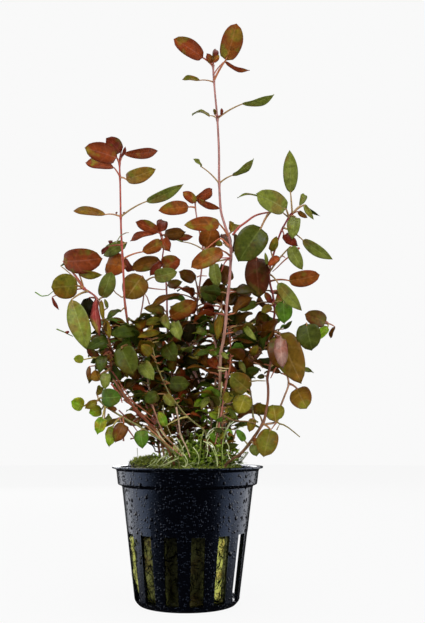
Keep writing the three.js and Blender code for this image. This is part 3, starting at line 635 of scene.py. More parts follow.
def make_shoot_tree() -> Tree:
    """Makes the tree that turns wires into stalks and lays a blade on each leaf point.

    Returns:
        The tree, with the inputs Sides, Blades, Bark and Tissue.
    """
    kinds = {"Sides": "Int", "Blades": "Collection", "Bark": "Material", "Tissue": "Material"}
    tree, given = new_tree("shoot", kinds)
    is_leaf, radius, form, facing, size = (
        add(tree, "GeometryNodeInputNamedAttribute", {"Name": name}, data_type=LAYERS[name][0])
        for name in ("is_leaf", "radius", "form", "facing", "size")
    )
    links = {"Geometry": given["Geometry"], "Selection": is_leaf}
    parts = add(tree, "GeometryNodeSeparateGeometry", links, domain="POINT")
    wires = add(tree, "GeometryNodeMeshToCurve", {"Mesh": parts.outputs["Inverted"]})
    links = {"Resolution": given["Sides"], "Radius": 1.0}
    ring = add(tree, "GeometryNodeCurvePrimitiveCircle", links)
    links = {"Curve": wires, "Profile Curve": ring, "Scale": radius, "Fill Caps": True}
    stalks = add(tree, "GeometryNodeCurveToMesh", links)
    stalks = add(tree, "GeometryNodeSetShadeSmooth", {"Geometry": stalks})
    stalks = add(tree, "GeometryNodeSetMaterial", {"Geometry": stalks, "Material": given["Bark"]})
    links = {
        "Points": parts.outputs["Selection"],
        "Instance Index": form,
        "Rotation": add(tree, "FunctionNodeEulerToRotation", {"Euler": facing}),
        "Scale": size,
    }
    blades = stand_forms(tree, given["Blades"], given["Tissue"], links)
    shoot = add(tree, "GeometryNodeJoinGeometry")
    for part in (stalks, blades):
        tree.links.new(part.outputs[0], shoot.inputs[0])
    add(tree, "NodeGroupOutput", {0: shoot})
    return tree


def make_scatter_tree() -> Tree:
    """Makes the tree that scatters forms over a surface, each on its own foot.

    Returns:
        The tree, with the inputs Forms, Count (for a square metre), Seed, Small, Large, Lean
        and Finish.
    """
    kinds = {"Forms": "Collection", "Count": "Float", "Seed": "Int"}
    kinds |= {"Small": "Float", "Large": "Float", "Lean": "Float", "Finish": "Material"}
    tree, given = new_tree("scatter", kinds)
    links = {"Mesh": given["Geometry"], "Density": given["Count"], "Seed": given["Seed"]}
    feet = add(tree, "GeometryNodeDistributePointsOnFaces", links, distribute_method="RANDOM")
    chance = "FunctionNodeRandomValue"
    tilt, spin, share = (
        add(tree, chance, {2: 0.0, 3: most, 8: seed}, data_type="FLOAT").outputs[1]
        for seed, most in enumerate((given["Lean"], math.tau, 1.0), 1)
    )
    bent = add(tree, "ShaderNodeCombineXYZ", {0: tilt, 1: 0.0, 2: spin})
    bent = add(tree, "FunctionNodeEulerToRotation", {"Euler": bent})
    links = {"Rotation": feet.outputs["Rotation"], "Rotate By": bent}
    facing = add(tree, "FunctionNodeRotateRotation", links, rotation_space="LOCAL")
    # Small ones outnumber large ones
    share = add(tree, "ShaderNodeMath", {0: share, 1: 2.2}, operation="POWER")
    limits = {"Value": share, "To Min": given["Small"], "To Max": given["Large"]}
    pick = add(tree, chance, {4: 0, 5: 99, 8: 4}, data_type="INT").outputs[2]
    links = {
        "Points": feet.outputs["Points"],
        "Instance Index": pick,
        "Rotation": facing,
        "Scale": add(tree, "ShaderNodeMapRange", limits),
    }
    add(tree, "NodeGroupOutput", {0: stand_forms(tree, given["Forms"], given["Finish"], links)})
    return tree


# How the plant grows


@dataclass(frozen=True)
class Sight:
    """The front view in which places on the plant are read.

    The eye, 300 mm in front of the pot's middle, looks up a little. A place is (across, up, depth):
    across and up as they are seen against the pot's middle plane, and depth behind that plane.
    """

    eye: Place = (9.05, -305.2, 58.7)
    eye_up: float = 106.4  # height at which the line of sight meets the middle plane
    reach: float = 300.0
    pitch: float = math.radians(8.7)

    def seen(self, across: float, up: float, depth: float) -> np.ndarray:
        """Returns the point of the model that is seen at a place.

        Args:
            across: Millimetres to the right.
            up: Millimetres above the pot's foot.
            depth: Millimetres behind the pot's middle plane.

        Returns:
            The point in millimetres.
        """
        forward = np.array([0.0, math.cos(self.pitch), math.sin(self.pitch)])
        upward = np.array([0.0, -math.sin(self.pitch), math.cos(self.pitch)])
        ray = forward + upward * (up - self.eye_up) / self.reach
        ray = ray + np.array([(across - self.eye[0]) / self.reach, 0.0, 0.0])
        return np.array(self.eye) + ray * (depth - self.eye[1]) / ray[1]


SIGHT = Sight()


class Tone(Enum):
    """Leaf colours: the middle of the blade, its edge and its veins."""

    RUST = (0x883C14, 0x68280C, 0xA0604A)
    MAROON = (0x6A240E, 0x501A0A, 0x884038)
    ORANGE = (0x884C12, 0x763612, 0xA67040)
    AMBER = (0x80601A, 0x74501A, 0xA88C54)
    OLIVE = (0x6C5F10, 0x704C0E, 0x8E803E)
    GOLD = (0x8A8022, 0x7C7420, 0xB0A45C)
    BROWN = (0x633C06, 0x4F2805, 0x84582E)
    CHESTNUT = (0x52240A, 0x3C1806, 0x74442E)
    UMBER = (0x402A06, 0x321E04, 0x604826)
    GREEN = (0x72792F, 0x687030, 0x92985A)
    FOREST = (0x424A0E, 0x40440C, 0x646C30)
    CLOVER = (0x4E701A, 0x466816, 0x7C9A4A)
    GRASS = (0x66860E, 0x6E9012, 0x94AE4C)
    LIME = (0x6E9A22, 0x628E1C, 0x9CB860)
    DARK = (0x38460E, 0x3D430C, 0x58662E)
    SHADE = (0x201E08, 0x1C1808, 0x36341C)
    PINK = (0x994F3A, 0x7A3424, 0xB47460)
    CRIMSON = (0x963A34, 0x561814, 0xC07C70)
    # Pinkish grey, partly painted sheen: the wet shine on a curled blade half
    DUSK = (0x957266, 0x7E5446, 0xB49C90)


class Bark(Enum):
    """Stem colours: low down in the shade, and high up in the light."""

    PINK = (0x9A7A58, 0xA0706A)
    RED = (0x8A5E3C, 0xA04C40)
    WINE = (0x755439, 0x84383A)
    STRAW = (0x7C7A48, 0x8A7448)


@dataclass(frozen=True)
class Leaf:
    """A leaf: its node on the shoot, where its blade starts and ends, and how it looks."""

    node: tuple[float, float]
    base: Place
    tip: Place
    wide: float
    roll: float  # degrees that its face turns from the eye
    tone: Tone


@dataclass(frozen=True)
class Stretch:
    """Leaves that stand by rule in crossed pairs along a stretch of a shoot."""

    start: float
    stop: float
    pairs: int
    length: float
    back_only: bool


@dataclass(frozen=True)
class ShootPlan:
    """One shoot: its path, its big and small leaves, and those that stand by rule."""

    name: str
    thick: float
    bark: Bark
    path: tuple[Place, ...]
    big: tuple[Leaf, ...] = ()
    small: tuple[Leaf, ...] = ()
    grown: tuple[Stretch, ...] = ()


SHOOTS = (
    ShootPlan(
      name="tall",
      thick=0.6,
      bark=Bark.PINK,
      path=(
        (9.3, 42, -5.5), (9.6, 50, -7), (10.6, 58, -10), (11.3, 66, -12), (11.4, 73.5, -13.5),
        (11.8, 80, -15), (11.9, 87, -16.5), (12.2, 92, -17.3), (12.9, 95.2, -17.8),
        (13.9, 102.5, -18), (14.2, 108.4, -18), (15.1, 115.7, -17), (15.6, 123, -15),
        (15.7, 130.7, -12), (13.3, 138.8, -9), (12.2, 142.8, -7), (11.5, 153.3, -3),
        (11.4, 165, 0), (10.8, 177, 2), (9.8, 188, 3), (9.2, 196.5, 3),
      ),
      big=(
        Leaf((9.8, 191), (13.9, 198.3, -1), (18, 211.4, -9), 8.5, 10, Tone.ORANGE),
        Leaf((9.2, 196), (5.5, 199.2, 0), (-4.8, 206, -8), 6.8, 15, Tone.RUST),
        Leaf((10.8, 177), (20, 182.3, -4), (31.5, 184.7, -10), 4.5, 50, Tone.GREEN),
        Leaf((15, 133.5), (11.7, 138.3, -14), (-1.1, 138, -20), 5.4, 10, Tone.ORANGE),
        Leaf((15.6, 126.5), (12.8, 128.6, -17), (1.9, 123, -23), 6.2, 10, Tone.ORANGE),
      ),
      small=(
        Leaf((15.5, 125.2), (9.6, 124.2, -10), (10.6, 116.2, -15), 4.5, 15, Tone.GREEN),
        Leaf((9.2, 196.4), (8.8, 197.3, 1), (7.2, 200.4, -3), 2.8, 10, Tone.RUST),
        Leaf((9.2, 196.4), (9.6, 197.6, 3), (10.2, 202.6, 4), 2.6, 10, Tone.MAROON),
        Leaf((9.6, 193), (13.5, 197.9, 7), (22.6, 194, 11), 2.4, 40, Tone.RUST),
        Leaf((9.7, 190.2), (4.5, 191, 6), (-2.4, 191.6, 11), 2.4, 30, Tone.OLIVE),
        Leaf((9.3, 196.6), (9.4, 197.6, -1), (11.4, 200, -3), 2.0, 10, Tone.RUST),
        Leaf((10.8, 177.2), (10, 178.2, -1), (9.6, 180.6, -2), 1.3, 20, Tone.BROWN),
        Leaf((10.8, 177.2), (12.2, 178.2, -1), (12.4, 180.8, -2), 1.3, 20, Tone.MAROON),
        Leaf((10.8, 177), (8, 178, 6), (1.5, 179.8, 14), 3.0, 70, Tone.GREEN),
        Leaf((11.5, 153.3), (5, 159.3, -9), (2.6, 162.4, -12), 2.0, 50, Tone.GREEN),
        Leaf((11.5, 153.3), (16.3, 156.2, -7), (24.3, 161.3, -13), 3.4, 40, Tone.GREEN),
        Leaf((15.7, 130), (15.2, 129.8, -8), (12.6, 135, -2), 3.8, 20, Tone.CHESTNUT),
        Leaf((15.7, 128.6), (16.6, 128, -8), (17.6, 135.6, -3), 2.6, 30, Tone.UMBER),
        Leaf((15, 134), (16, 135.4, -5), (17.3, 139.4, 0), 4.8, 10, Tone.OLIVE),
        Leaf((12.2, 91), (12.6, 91.4, -19), (14.9, 89, -22), 1.7, 10, Tone.GREEN),
        Leaf((15, 113.8), (17, 114, -13), (24.3, 113.6, -8), 3.6, 20, Tone.BROWN),
        Leaf((14.1, 103.5), (15.8, 103, -13), (20.8, 105, -7), 5.0, 15, Tone.FOREST),
        Leaf((15.6, 129), (12.6, 131.5, -8), (10.4, 130.8, -10), 2.2, 10, Tone.OLIVE),
        Leaf((10.6, 58), (10.8, 58.4, -14), (8.4, 61.8, -17), 2.4, 10, Tone.LIME),
        Leaf((11.5, 57), (12.7, 57.2, -16), (18.2, 57.6, -20), 2.4, 20, Tone.FOREST),
      ),
      grown=(Stretch(0.24, 0.42, 2, 10, True),),
    ),
    ShootPlan(
      name="arch",
      thick=0.45,
      bark=Bark.RED,
      path=(
        (16.5, 134.4, -10), (18.5, 137, -9), (20.9, 138.8, -8), (25, 141.6, -7), (31.5, 143, -5),
      ),
      big=(Leaf((30.2, 142.6), (26.8, 137, -14), (19, 125.4, -22), 10.8, 5, Tone.FOREST),),
    ),
    ShootPlan(
      name="left",
      thick=0.5,
      bark=Bark.RED,
      path=(
        (-5, 42, 3), (-4.6, 50, 3), (-6, 56, 2), (-9, 62, 0), (-12.5, 71.5, -3), (-17, 85, -8),
        (-20.3, 95, -11), (-21.7, 101, -12), (-22.4, 105.1, -12.5), (-23.2, 111.7, -13),
        (-23.5, 119.7, -13), (-23.9, 127.1, -12), (-24.3, 134.4, -10), (-24.5, 141, -8),
        (-24.7, 152, -5), (-25, 161.5, -3),
      ),
      big=(
        Leaf((-24.9, 160.5), (-26, 162.6, -6), (-36.9, 166.2, -14), 7.6, 10, Tone.RUST),
        Leaf((-24.8, 155.8), (-27, 159, -3), (-38, 161.5, 3), 4.8, 20, Tone.RUST),
        Leaf((-24.9, 160.5), (-23.5, 164, 1), (-10.3, 164.8, 8), 4.4, 15, Tone.RUST),
        Leaf((-24.7, 155.4), (-22.6, 154.8, -8), (-12, 158.4, -15), 5.8, 10, Tone.AMBER),
        Leaf((-24.5, 141), (-15.2, 146.6, -14), (-1.8, 152.5, -22), 4.2, 20, Tone.GREEN),
        Leaf((-24.5, 141), (-30, 141.9, -3), (-42.3, 143.5, 3), 3.6, 20, Tone.AMBER),
        Leaf((-23.7, 122.6), (-22.6, 122.8, -8), (-30.2, 124, -2), 9.4, 10, Tone.ORANGE),
        Leaf((-20, 93.5), (-24.3, 93.4, -20.5), (-20.4, 84.3, -27.5), 8.0, 5, Tone.FOREST),
      ),
      small=(
        Leaf((-25, 161.5), (-24.4, 164.6, -4), (-29.6, 169.7, -9), 5.8, 15, Tone.MAROON),
        Leaf((-23.8, 125.5), (-16.6, 128.2, -11), (-9, 132, -10), 4.8, 10, Tone.ORANGE),
        Leaf((-24.9, 160.4), (-24.5, 162.5, -5), (-22.5, 166.8, -5), 1.4, 20, Tone.MAROON),
        Leaf((-24.1, 130.5), (-22.4, 131.6, -9), (-31, 126.9, -4), 4.8, 10, Tone.GREEN),
        Leaf((-24, 127.2), (-23.5, 126, -9), (-19.7, 120.3, -3), 3.2, 20, Tone.PINK),
        Leaf((-22.7, 107.8), (-24.3, 106.7, -15), (-29.6, 104, -19), 2.6, 40, Tone.DARK),
        Leaf((-20.5, 96), (-19, 99.4, -15), (-28, 98, -22), 4.8, 10, Tone.DARK),
        Leaf((-24.1, 130.5), (-28.8, 130.2, -10), (-32, 127.3, -7), 1.8, 20, Tone.MAROON),
      ),
      grown=(Stretch(0.18, 0.34, 2, 9, True),),
    ),
    ShootPlan(
      name="middle",
      thick=0.45,
      bark=Bark.PINK,
      path=(
        (0.5, 42, 6), (0.2, 52, 7), (-0.6, 62, 8), (0, 75, 8), (2.5, 88, 7), (4.4, 99.6, 6),
        (3.4, 108.9, 5), (4.6, 118, 4), (5.6, 128.9, 3), (4.5, 134.4, 3), (3.3, 140.6, 4),
        (2.8, 144.5, 4), (2.6, 148, 4),
      ),
      big=(
        Leaf((2.8, 144.3), (0.3, 144.6, 2), (-10.5, 143.3, -4), 5.6, 10, Tone.ORANGE),
      ),
      small=(
        Leaf((5.6, 128.9), (6.6, 129.6, -1), (9, 137, -6), 8.2, 10, Tone.ORANGE),
        Leaf((2.7, 147), (3, 146.3, 2), (-1.8, 150.2, 0), 3.9, 10, Tone.RUST),
        Leaf((2.7, 147), (2.6, 146.8, 3), (9.6, 151.2, 5), 4.0, 10, Tone.RUST),
        Leaf((2.7, 147), (3.2, 147.4, 3), (11.8, 143.8, 1), 2.8, 20, Tone.RUST),
        Leaf((5.6, 128.9), (-1.5, 131.8, 8), (-6, 133.3, 12), 1.8, 30, Tone.GREEN),
        Leaf((3.8, 113), (2.8, 118, -2), (-2.6, 120.6, -7), 4.8, 5, Tone.BROWN),
        Leaf((3.5, 110), (-3, 112.7, -4), (-14, 108.6, -12), 3.0, 45, Tone.BROWN),
      ),
      grown=(Stretch(0.28, 0.6, 3, 12, False),),
    ),
    ShootPlan(
      name="whorl",
      thick=0.45,
      bark=Bark.WINE,
      path=(
        (-2, 42, -1), (-2.2, 52, -1), (-3.2, 62, -2), (-4, 70, -3), (-6, 85, -4),
        (-7.4, 100, -3), (-7.7, 113, -1), (-8.2, 120, 0), (-9.2, 126.5, 1), (-8.9, 129, 1.5),
        (-9.8, 134.8, 1.5),
      ),
      big=(
        Leaf((-8.3, 121.2), (-10.2, 125, -4), (-20, 122.4, -9), 5.6, 10, Tone.BROWN),
        Leaf((-9, 125.5), (-9.4, 123, -8), (-3.2, 125.3, -14), 6.4, 5, Tone.RUST),
        Leaf((-7.5, 103), (-6.5, 104.6, -8), (2.7, 109.6, -14), 6.2, 10, Tone.ORANGE),
      ),
      small=(
        Leaf((-9.6, 133.4), (-10.6, 135.6, -2), (-18.6, 139.2, -6), 4.4, 10, Tone.RUST),
        Leaf((-9.5, 134), (-8.6, 134.4, -1), (-1.6, 135.3, -6), 4.8, 10, Tone.BROWN),
        Leaf((-7.6, 106), (-8.5, 106.6, -6), (-15.8, 107.6, -12), 3.8, 15, Tone.BROWN),
        Leaf((-9.8, 134.8), (-9.9, 135.4, 3), (-9.4, 140.2, 7), 4.6, 10, Tone.MAROON),
        Leaf((-9.8, 134.8), (-11.5, 135.2, 4), (-22, 132.8, 10), 3.2, 30, Tone.RUST),
        Leaf((-9.6, 134), (-7, 134.6, 4), (2.4, 133.2, 8), 2.8, 20, Tone.RUST),
        Leaf((-9.6, 133.6), (-9.2, 133, -1), (-7.3, 129.6, -7), 4.4, 10, Tone.RUST),
        Leaf((-7.8, 115), (-7.4, 116.2, -4), (-2.5, 117.2, -9), 3.4, 10, Tone.BROWN),
        Leaf((-7.5, 101.5), (-9, 103.2, -6), (-16, 102.2, -13), 3.2, 10, Tone.OLIVE),
        Leaf((-7.5, 104.5), (-8.9, 104.8, -11), (-7, 100.3, -17), 3.0, 10, Tone.GREEN),
        Leaf((-7.3, 99), (-5, 102.6, -12), (-3.2, 97.2, -19), 4.4, 10, Tone.GREEN),
        Leaf((-7.2, 97), (-10.3, 98.7, -12), (-18, 97.2, -19), 2.8, 20, Tone.OLIVE),
        Leaf((-6.3, 88), (-8, 94.5, -12), (-4.5, 88.5, -18), 6.5, 10, Tone.DARK),
        Leaf((-8.9, 124), (-9.5, 124.5, -9), (-13.5, 120, -12), 3.0, 10, Tone.MAROON),
      ),
      grown=(Stretch(0.28, 0.5, 2, 10, False),),
    ),
    ShootPlan(
      name="pink",
      thick=0.4,
      bark=Bark.PINK,
      path=(
        (-7.5, 42, -4), (-8, 50, -5), (-10.5, 62, -8), (-13.5, 75, -11), (-15.6, 88, -11),
        (-17, 98, -8), (-17.3, 104.5, -6.5), (-16.6, 108.5, -5.5), (-16.1, 112.3, -4.5),
        (-15.8, 117, -4.5),
      ),
      big=(
        Leaf((-15.8, 117), (-16.6, 119.3, -7), (-22.4, 111.2, -9), 9.6, 5, Tone.AMBER),
        Leaf((-15.8, 117), (-12.2, 119, -10), (-4.4, 120.8, -17), 5.4, 5, Tone.GREEN),
      ),
      small=(
        Leaf((-17.3, 104), (-17, 104, -11), (-17.6, 100.3, -17), 4.4, 10, Tone.BROWN),
        Leaf((-15.4, 87), (-17, 87.6, -17), (-12.6, 81.8, -23), 5.2, 5, Tone.GREEN),
      ),
      grown=(Stretch(0.35, 0.62, 2, 8, False),),
    ),
    ShootPlan(
      name="low_left",
      thick=0.55,
      bark=Bark.RED,
      path=(
        (-4.5, 42, -10), (-5, 50, -12), (-8, 57.5, -15), (-13.8, 65, -17.5), (-17.5, 69, -19),
        (-21, 73, -20), (-24, 77, -20.5), (-26, 80, -21), (-27.8, 84, -20), (-28.2, 88, -19),
        (-28.3, 93, -17), (-29.5, 99, -14), (-31, 105, -11), (-33.5, 111.5, -8),
        (-38, 114.8, -5),
      ),
      big=(
        Leaf((-38, 114.8), (-45.6, 124.8, -4), (-31.8, 125.6, -10), 9.6, 10, Tone.RUST),
        Leaf((-38, 114.8), (-40.2, 115.8, -6), (-49.6, 115.3, -10), 9.4, 5, Tone.OLIVE),
        Leaf((-33, 110), (-31.3, 111.5, -13), (-28, 120.3, -19), 5.8, 10, Tone.GREEN),
        Leaf((-36.5, 113.5), (-42.4, 110.8, -13), (-36.9, 93.3, -23), 7.6, 5, Tone.GREEN),
      ),
      small=(
        Leaf((-32.2, 108), (-33.4, 111, -15), (-33.2, 98.2, -22), 3.9, 30, Tone.CRIMSON),
        Leaf((-33.4, 111), (-36, 111.5, -8), (-37.8, 104, -6), 5.0, 10, Tone.SHADE),
        Leaf((-30.5, 103), (-30.1, 103.6, -17), (-28.7, 97.4, -23), 2.6, 10, Tone.OLIVE),
        Leaf((-28.4, 93), (-29.3, 96.2, -20), (-36.3, 93.1, -27), 4.2, 15, Tone.DARK),
        Leaf((-28.2, 89), (-38, 88.8, -25), (-41.6, 89.1, -27), 2.9, 10, Tone.GRASS),
        Leaf((-27.9, 85), (-32, 83.4, -24), (-35.8, 81.9, -28), 4.0, 5, Tone.AMBER),
        Leaf((-28, 86), (-30, 84, -26), (-30.2, 78.5, -31), 3.6, 5, Tone.GREEN),
        Leaf((-28.2, 90.5), (-31, 90.3, -22), (-32, 84.3, -28), 4.0, 10, Tone.DARK),
        Leaf((-31, 106), (-29.4, 107.6, -14), (-30.4, 111, -16), 1.4, 10, Tone.GREEN),
        Leaf((-32.4, 109), (-31.5, 110.4, -16), (-30.9, 103, -20), 1.8, 10, Tone.OLIVE),
        Leaf((-28, 85.5), (-36, 86.3, -26), (-36.3, 81, -30), 1.7, 10, Tone.BROWN),
        Leaf((-38, 114.8), (-49.6, 111.7, -6), (-47.5, 107.2, -8), 1.4, 20, Tone.MAROON),
        Leaf((-38, 114.8), (-46.5, 123, -2), (-43, 126.5, -4), 1.4, 40, Tone.GREEN),
        Leaf((-38, 114.8), (-40, 120.6, -5), (-31.6, 119.6, -8), 3.4, 20, Tone.OLIVE),
        Leaf((-28.4, 93), (-31.6, 93.6, -15), (-26.8, 88.4, -19), 4.6, 10, Tone.CHESTNUT),
        Leaf((-28.3, 92), (-32.4, 89.2, -20), (-36.6, 92.4, -23), 2.8, 10, Tone.CHESTNUT),
        Leaf((-28.2, 90), (-29.8, 88.8, -21), (-33.4, 85.6, -25), 3.6, 10, Tone.FOREST),
        Leaf((-28, 87), (-28.4, 86.4, -19), (-24.9, 81.8, -22), 4.0, 10, Tone.DARK),
      ),
    ),
    ShootPlan(
      name="trailing",
      thick=0.4,
      bark=Bark.STRAW,
      path=(
        (-2.5, 42, -14), (-3, 50, -16), (-7, 57, -21), (-14, 62, -24), (-18, 64.5, -26),
        (-23, 67.3, -27), (-27, 69.7, -28), (-30.2, 71.8, -28), (-32.7, 74.3, -27),
      ),
      big=(Leaf((-32.6, 74.2), (-31.6, 74.8, -30), (-24.8, 75.2, -35), 6.2, 5, Tone.CLOVER),),
      small=(
        Leaf((-32.6, 74.2), (-33, 75.6, -25), (-31.6, 79.9, -21), 2.4, 10, Tone.OLIVE),
        Leaf((-32.4, 73.8), (-33.2, 73.6, -29), (-37.2, 71.2, -32), 2.6, 10, Tone.OLIVE),
        Leaf((-32.4, 73.8), (-38, 71.8, -30), (-42.4, 73.4, -33), 4.6, 5, Tone.GRASS),
        Leaf((-30.4, 72), (-31.5, 70.6, -26), (-35.8, 69.3, -29), 4.1, 5, Tone.GRASS),
        Leaf((-30.2, 71.8), (-31.2, 67.6, -31), (-32.7, 62.4, -36), 3.9, 5, Tone.GRASS),
        Leaf((-30, 71.6), (-30.6, 66, -28), (-27.9, 68.9, -24), 2.2, 20, Tone.GREEN),
        Leaf((-24.5, 68), (-27.6, 64.2, -30), (-28.6, 58.1, -35), 3.8, 5, Tone.GRASS),
        Leaf((-24, 67.8), (-23.4, 65.4, -29), (-26.2, 59.2, -35), 4.8, 5, Tone.BROWN),
        Leaf((-16, 63.2), (-17.2, 63, -27), (-16.5, 56.6, -31), 4.9, 5, Tone.CLOVER),
        Leaf((-27, 69.7), (-26, 70.6, -30), (-29.2, 71.2, -32), 1.6, 10, Tone.BROWN),
      ),
    ),
    ShootPlan(
      name="crossing",
      thick=0.35,
      bark=Bark.STRAW,
      path=(
        (3.5, 42, -11), (5, 50, -12), (6.8, 57, -13.5), (6.3, 62.5, -15), (3, 65.3, -16),
        (-1, 68.8, -17), (-4.5, 73.2, -17), (-6.5, 76, -16.5), (-9, 81, -15.5),
        (-11.4, 87, -15), (-12.6, 92, -15), (-13.5, 96, -15),
      ),
      small=(
        Leaf((-8.8, 80.6), (-6.8, 80, -21), (-0.2, 80, -26), 5.4, 5, Tone.FOREST),
        Leaf((-6.3, 75.6), (-8.5, 76, -19), (-5.4, 72.3, -22), 3.4, 10, Tone.GREEN),
        Leaf((-5.8, 75), (-10.8, 76.3, -20), (-15.4, 73.4, -23), 4.6, 10, Tone.DARK),
        Leaf((-11.8, 88.5), (-13.4, 90.5, -18), (-17, 94.2, -21), 4.0, 10, Tone.OLIVE),
        Leaf((-3.4, 64), (-8.2, 64.4, -22), (-10.4, 69.4, -25), 3.0, 10, Tone.LIME),
      ),
    ),
    ShootPlan(
      name="thin",
      thick=0.5,
      bark=Bark.PINK,
      path=(
        (6.4, 42, -5), (7.4, 52, -8), (8.3, 62.5, -11), (8.7, 68, -12), (8.9, 72, -12),
        (9.7, 76, -12), (10.1, 80, -12), (10.5, 84, -12), (10.8, 88, -12), (10.6, 92, -12.5),
        (9.9, 95.5, -12.5), (8.4, 100.3, -12.5), (10, 104.5, -12), (12.5, 109, -11),
      ),
      small=(
        Leaf((12.4, 108.8), (12.6, 106.8, -14), (10.6, 96.8, -19), 3.2, 15, Tone.OLIVE),
        Leaf((12.4, 108.8), (9.8, 110, -8), (5, 115.6, -10), 5.4, 10, Tone.DARK),
        Leaf((12.4, 108.8), (12.6, 110, -8), (12, 116.4, -5), 5.0, 10, Tone.BROWN),
        Leaf((8.6, 101), (8.6, 103.5, -8), (6.8, 110, -6), 4.0, 10, Tone.MAROON),
        Leaf((10.6, 92), (8.2, 92.2, -15), (2.8, 90.4, -19), 2.2, 10, Tone.DARK),
        Leaf((8.9, 72), (7.6, 75, -15), (5, 71, -19), 2.4, 10, Tone.GREEN),
      ),
    ),
    ShootPlan(
      name="red",
      thick=0.45,
      bark=Bark.RED,
      path=(
        (10.5, 42, -9.5), (11.5, 50, -12), (12.5, 60, -15), (12.6, 68, -16.5), (12.8, 73, -17),
        (13.5, 79, -16.5), (15.2, 85, -15), (15.6, 90, -14), (15.6, 94, -14), (15.2, 98, -14.5),
        (14.9, 100.5, -15),
      ),
      small=(
        Leaf((14.9, 100), (20.5, 101.4, -15), (24.8, 96, -20), 2.4, 10, Tone.GREEN),
        Leaf((15.4, 96), (17, 97, -12), (24.5, 94.8, -14), 1.4, 20, Tone.BROWN),
        Leaf((12.6, 70), (14.8, 71.4, -18), (18, 67, -22), 1.9, 10, Tone.FOREST),
        Leaf((12.4, 61), (12.8, 62.2, -18), (10, 63.4, -21), 1.8, 10, Tone.DARK),
      ),
      grown=(Stretch(0.55, 0.8, 2, 8, True),),
    ),
    ShootPlan(
      name="slanting",
      thick=0.45,
      bark=Bark.WINE,
      path=(
        (12.3, 42, -3), (13, 50, -3), (13.4, 60, -4), (13.9, 70, -6), (15.7, 77, -7),
        (18.5, 82.5, -8.5), (21.7, 86.4, -10), (25.5, 90.8, -11), (28.6, 94.6, -12),
      ),
      small=(
        Leaf((28, 94), (26.2, 99.6, -6), (28, 107.2, -3), 5.0, 10, Tone.BROWN),
        Leaf((26, 91.4), (22.6, 94.8, -6), (16, 93.4, -9), 4.2, 10, Tone.DARK),
        Leaf((24, 89), (23, 90.6, -12), (25.6, 93.8, -16), 3.2, 10, Tone.OLIVE),
        Leaf((19.5, 84), (19, 88.4, -12), (20.8, 84.4, -17), 2.2, 10, Tone.GREEN),
        Leaf((19.5, 84), (20.6, 83.8, -12), (25.9, 85.3, -16), 3.4, 10, Tone.DARK),
        Leaf((13.4, 62), (17, 64.8, -16), (20.4, 65.6, -18), 1.4, 20, Tone.DARK),
      ),
      grown=(Stretch(0.35, 0.72, 2, 10, True),),
    ),
    ShootPlan(
      name="short",
      thick=0.4,
      bark=Bark.PINK,
      path=(
        (4.5, 42, 1), (5.4, 52, 0), (6.6, 62, -1), (7, 70, -2), (6, 75.5, -3), (5, 78, -3.5),
        (4, 81, -4), (2.5, 85, -4), (1, 90, -4), (0.5, 95, -4),
      ),
      small=(
        Leaf((0.6, 94), (-0.5, 95, -7), (1.5, 103, -10), 4.6, 10, Tone.SHADE),
        Leaf((1, 90), (-1, 90.5, -8), (3.4, 86.5, -13), 4.4, 10, Tone.SHADE),
      ),
      grown=(Stretch(0.5, 0.9, 2, 10, False),),
    ),
    ShootPlan(
      name="right",
      thick=0.55,
      bark=Bark.WINE,
      path=(
        (12, 42, -12.5), (13.5, 49.5, -14.5), (16.1, 52.3, -17), (18.9, 54, -18),
        (21.7, 57, -18.5), (24.3, 60.5, -18.5), (26.6, 64, -18), (27.9, 66.5, -17),
        (28.6, 69.9, -16), (29.3, 74, -15), (29.4, 78.6, -14), (29.1, 82.1, -13),
        (30, 86, -12), (30.8, 90.8, -11), (30.9, 98.1, -10), (31.2, 102, -9), (31.8, 106, -8),
        (31.5, 109.5, -8), (31.1, 112.6, -7.5), (30.1, 116.5, -7), (29.7, 120.5, -7),
        (31, 126, -7), (33.4, 133.8, -6), (34.8, 137, -5), (36.5, 140, -4), (38.2, 142.1, -4),
      ),
      big=(
        Leaf((38.2, 142), (37.6, 149.7, -7), (37.3, 165.3, -14), 5.6, 5, Tone.GREEN),
        Leaf((37, 140.8), (36, 143.8, -8), (25.9, 149.3, -15), 8.0, 10, Tone.GREEN),
        Leaf((34.8, 137), (42, 132.6, -12), (52.6, 125.5, -18), 4.4, 15, Tone.GREEN),
        Leaf((29.8, 120.6), (37.6, 130.2, -13), (41.8, 122, -19), 4.8, 10, Tone.GREEN),
        Leaf((29.8, 120.6), (25, 126.2, -9), (26, 112.4, -14), 9.0, 5, Tone.CHESTNUT),
        Leaf((30, 117.5), (37, 117.7, -13), (48, 119.7, -19), 6.0, 10, Tone.ORANGE),
        Leaf((29.8, 120), (33, 116.8, -14), (41.3, 107, -21), 5.0, 10, Tone.GREEN),
        Leaf((31.2, 98.4), (33.6, 98.6, -14), (41.3, 80.6, -25), 10.6, 5, Tone.AMBER),
        Leaf((31.1, 97.6), (32.9, 97, -19), (33.2, 86.3, -27), 7.3, 5, Tone.BROWN),
        Leaf((27.5, 65.5), (30.2, 63.3, -20), (28, 54.1, -27), 7.4, 5, Tone.OLIVE),
      ),
      small=(
        Leaf((37.6, 141.3), (39.4, 141, -8), (38.3, 133.7, -14), 5.0, 10, Tone.GREEN),
        Leaf((31.5, 109.5), (35, 109.9, -12), (35.3, 103.3, -17), 6.4, 5, Tone.CLOVER),
        Leaf((38, 142), (41, 145, -1), (43, 150.2, 4), 2.8, 10, Tone.GREEN),
        Leaf((38, 142), (40.4, 143, -7), (43.5, 140.8, -10), 2.0, 10, Tone.BROWN),
        Leaf((38, 142), (42.5, 145.5, -3), (45.6, 140.5, -7), 2.2, 10, Tone.GREEN),
        Leaf((34.4, 136), (35.2, 134.5, -9), (39.3, 131, -14), 3.6, 10, Tone.MAROON),
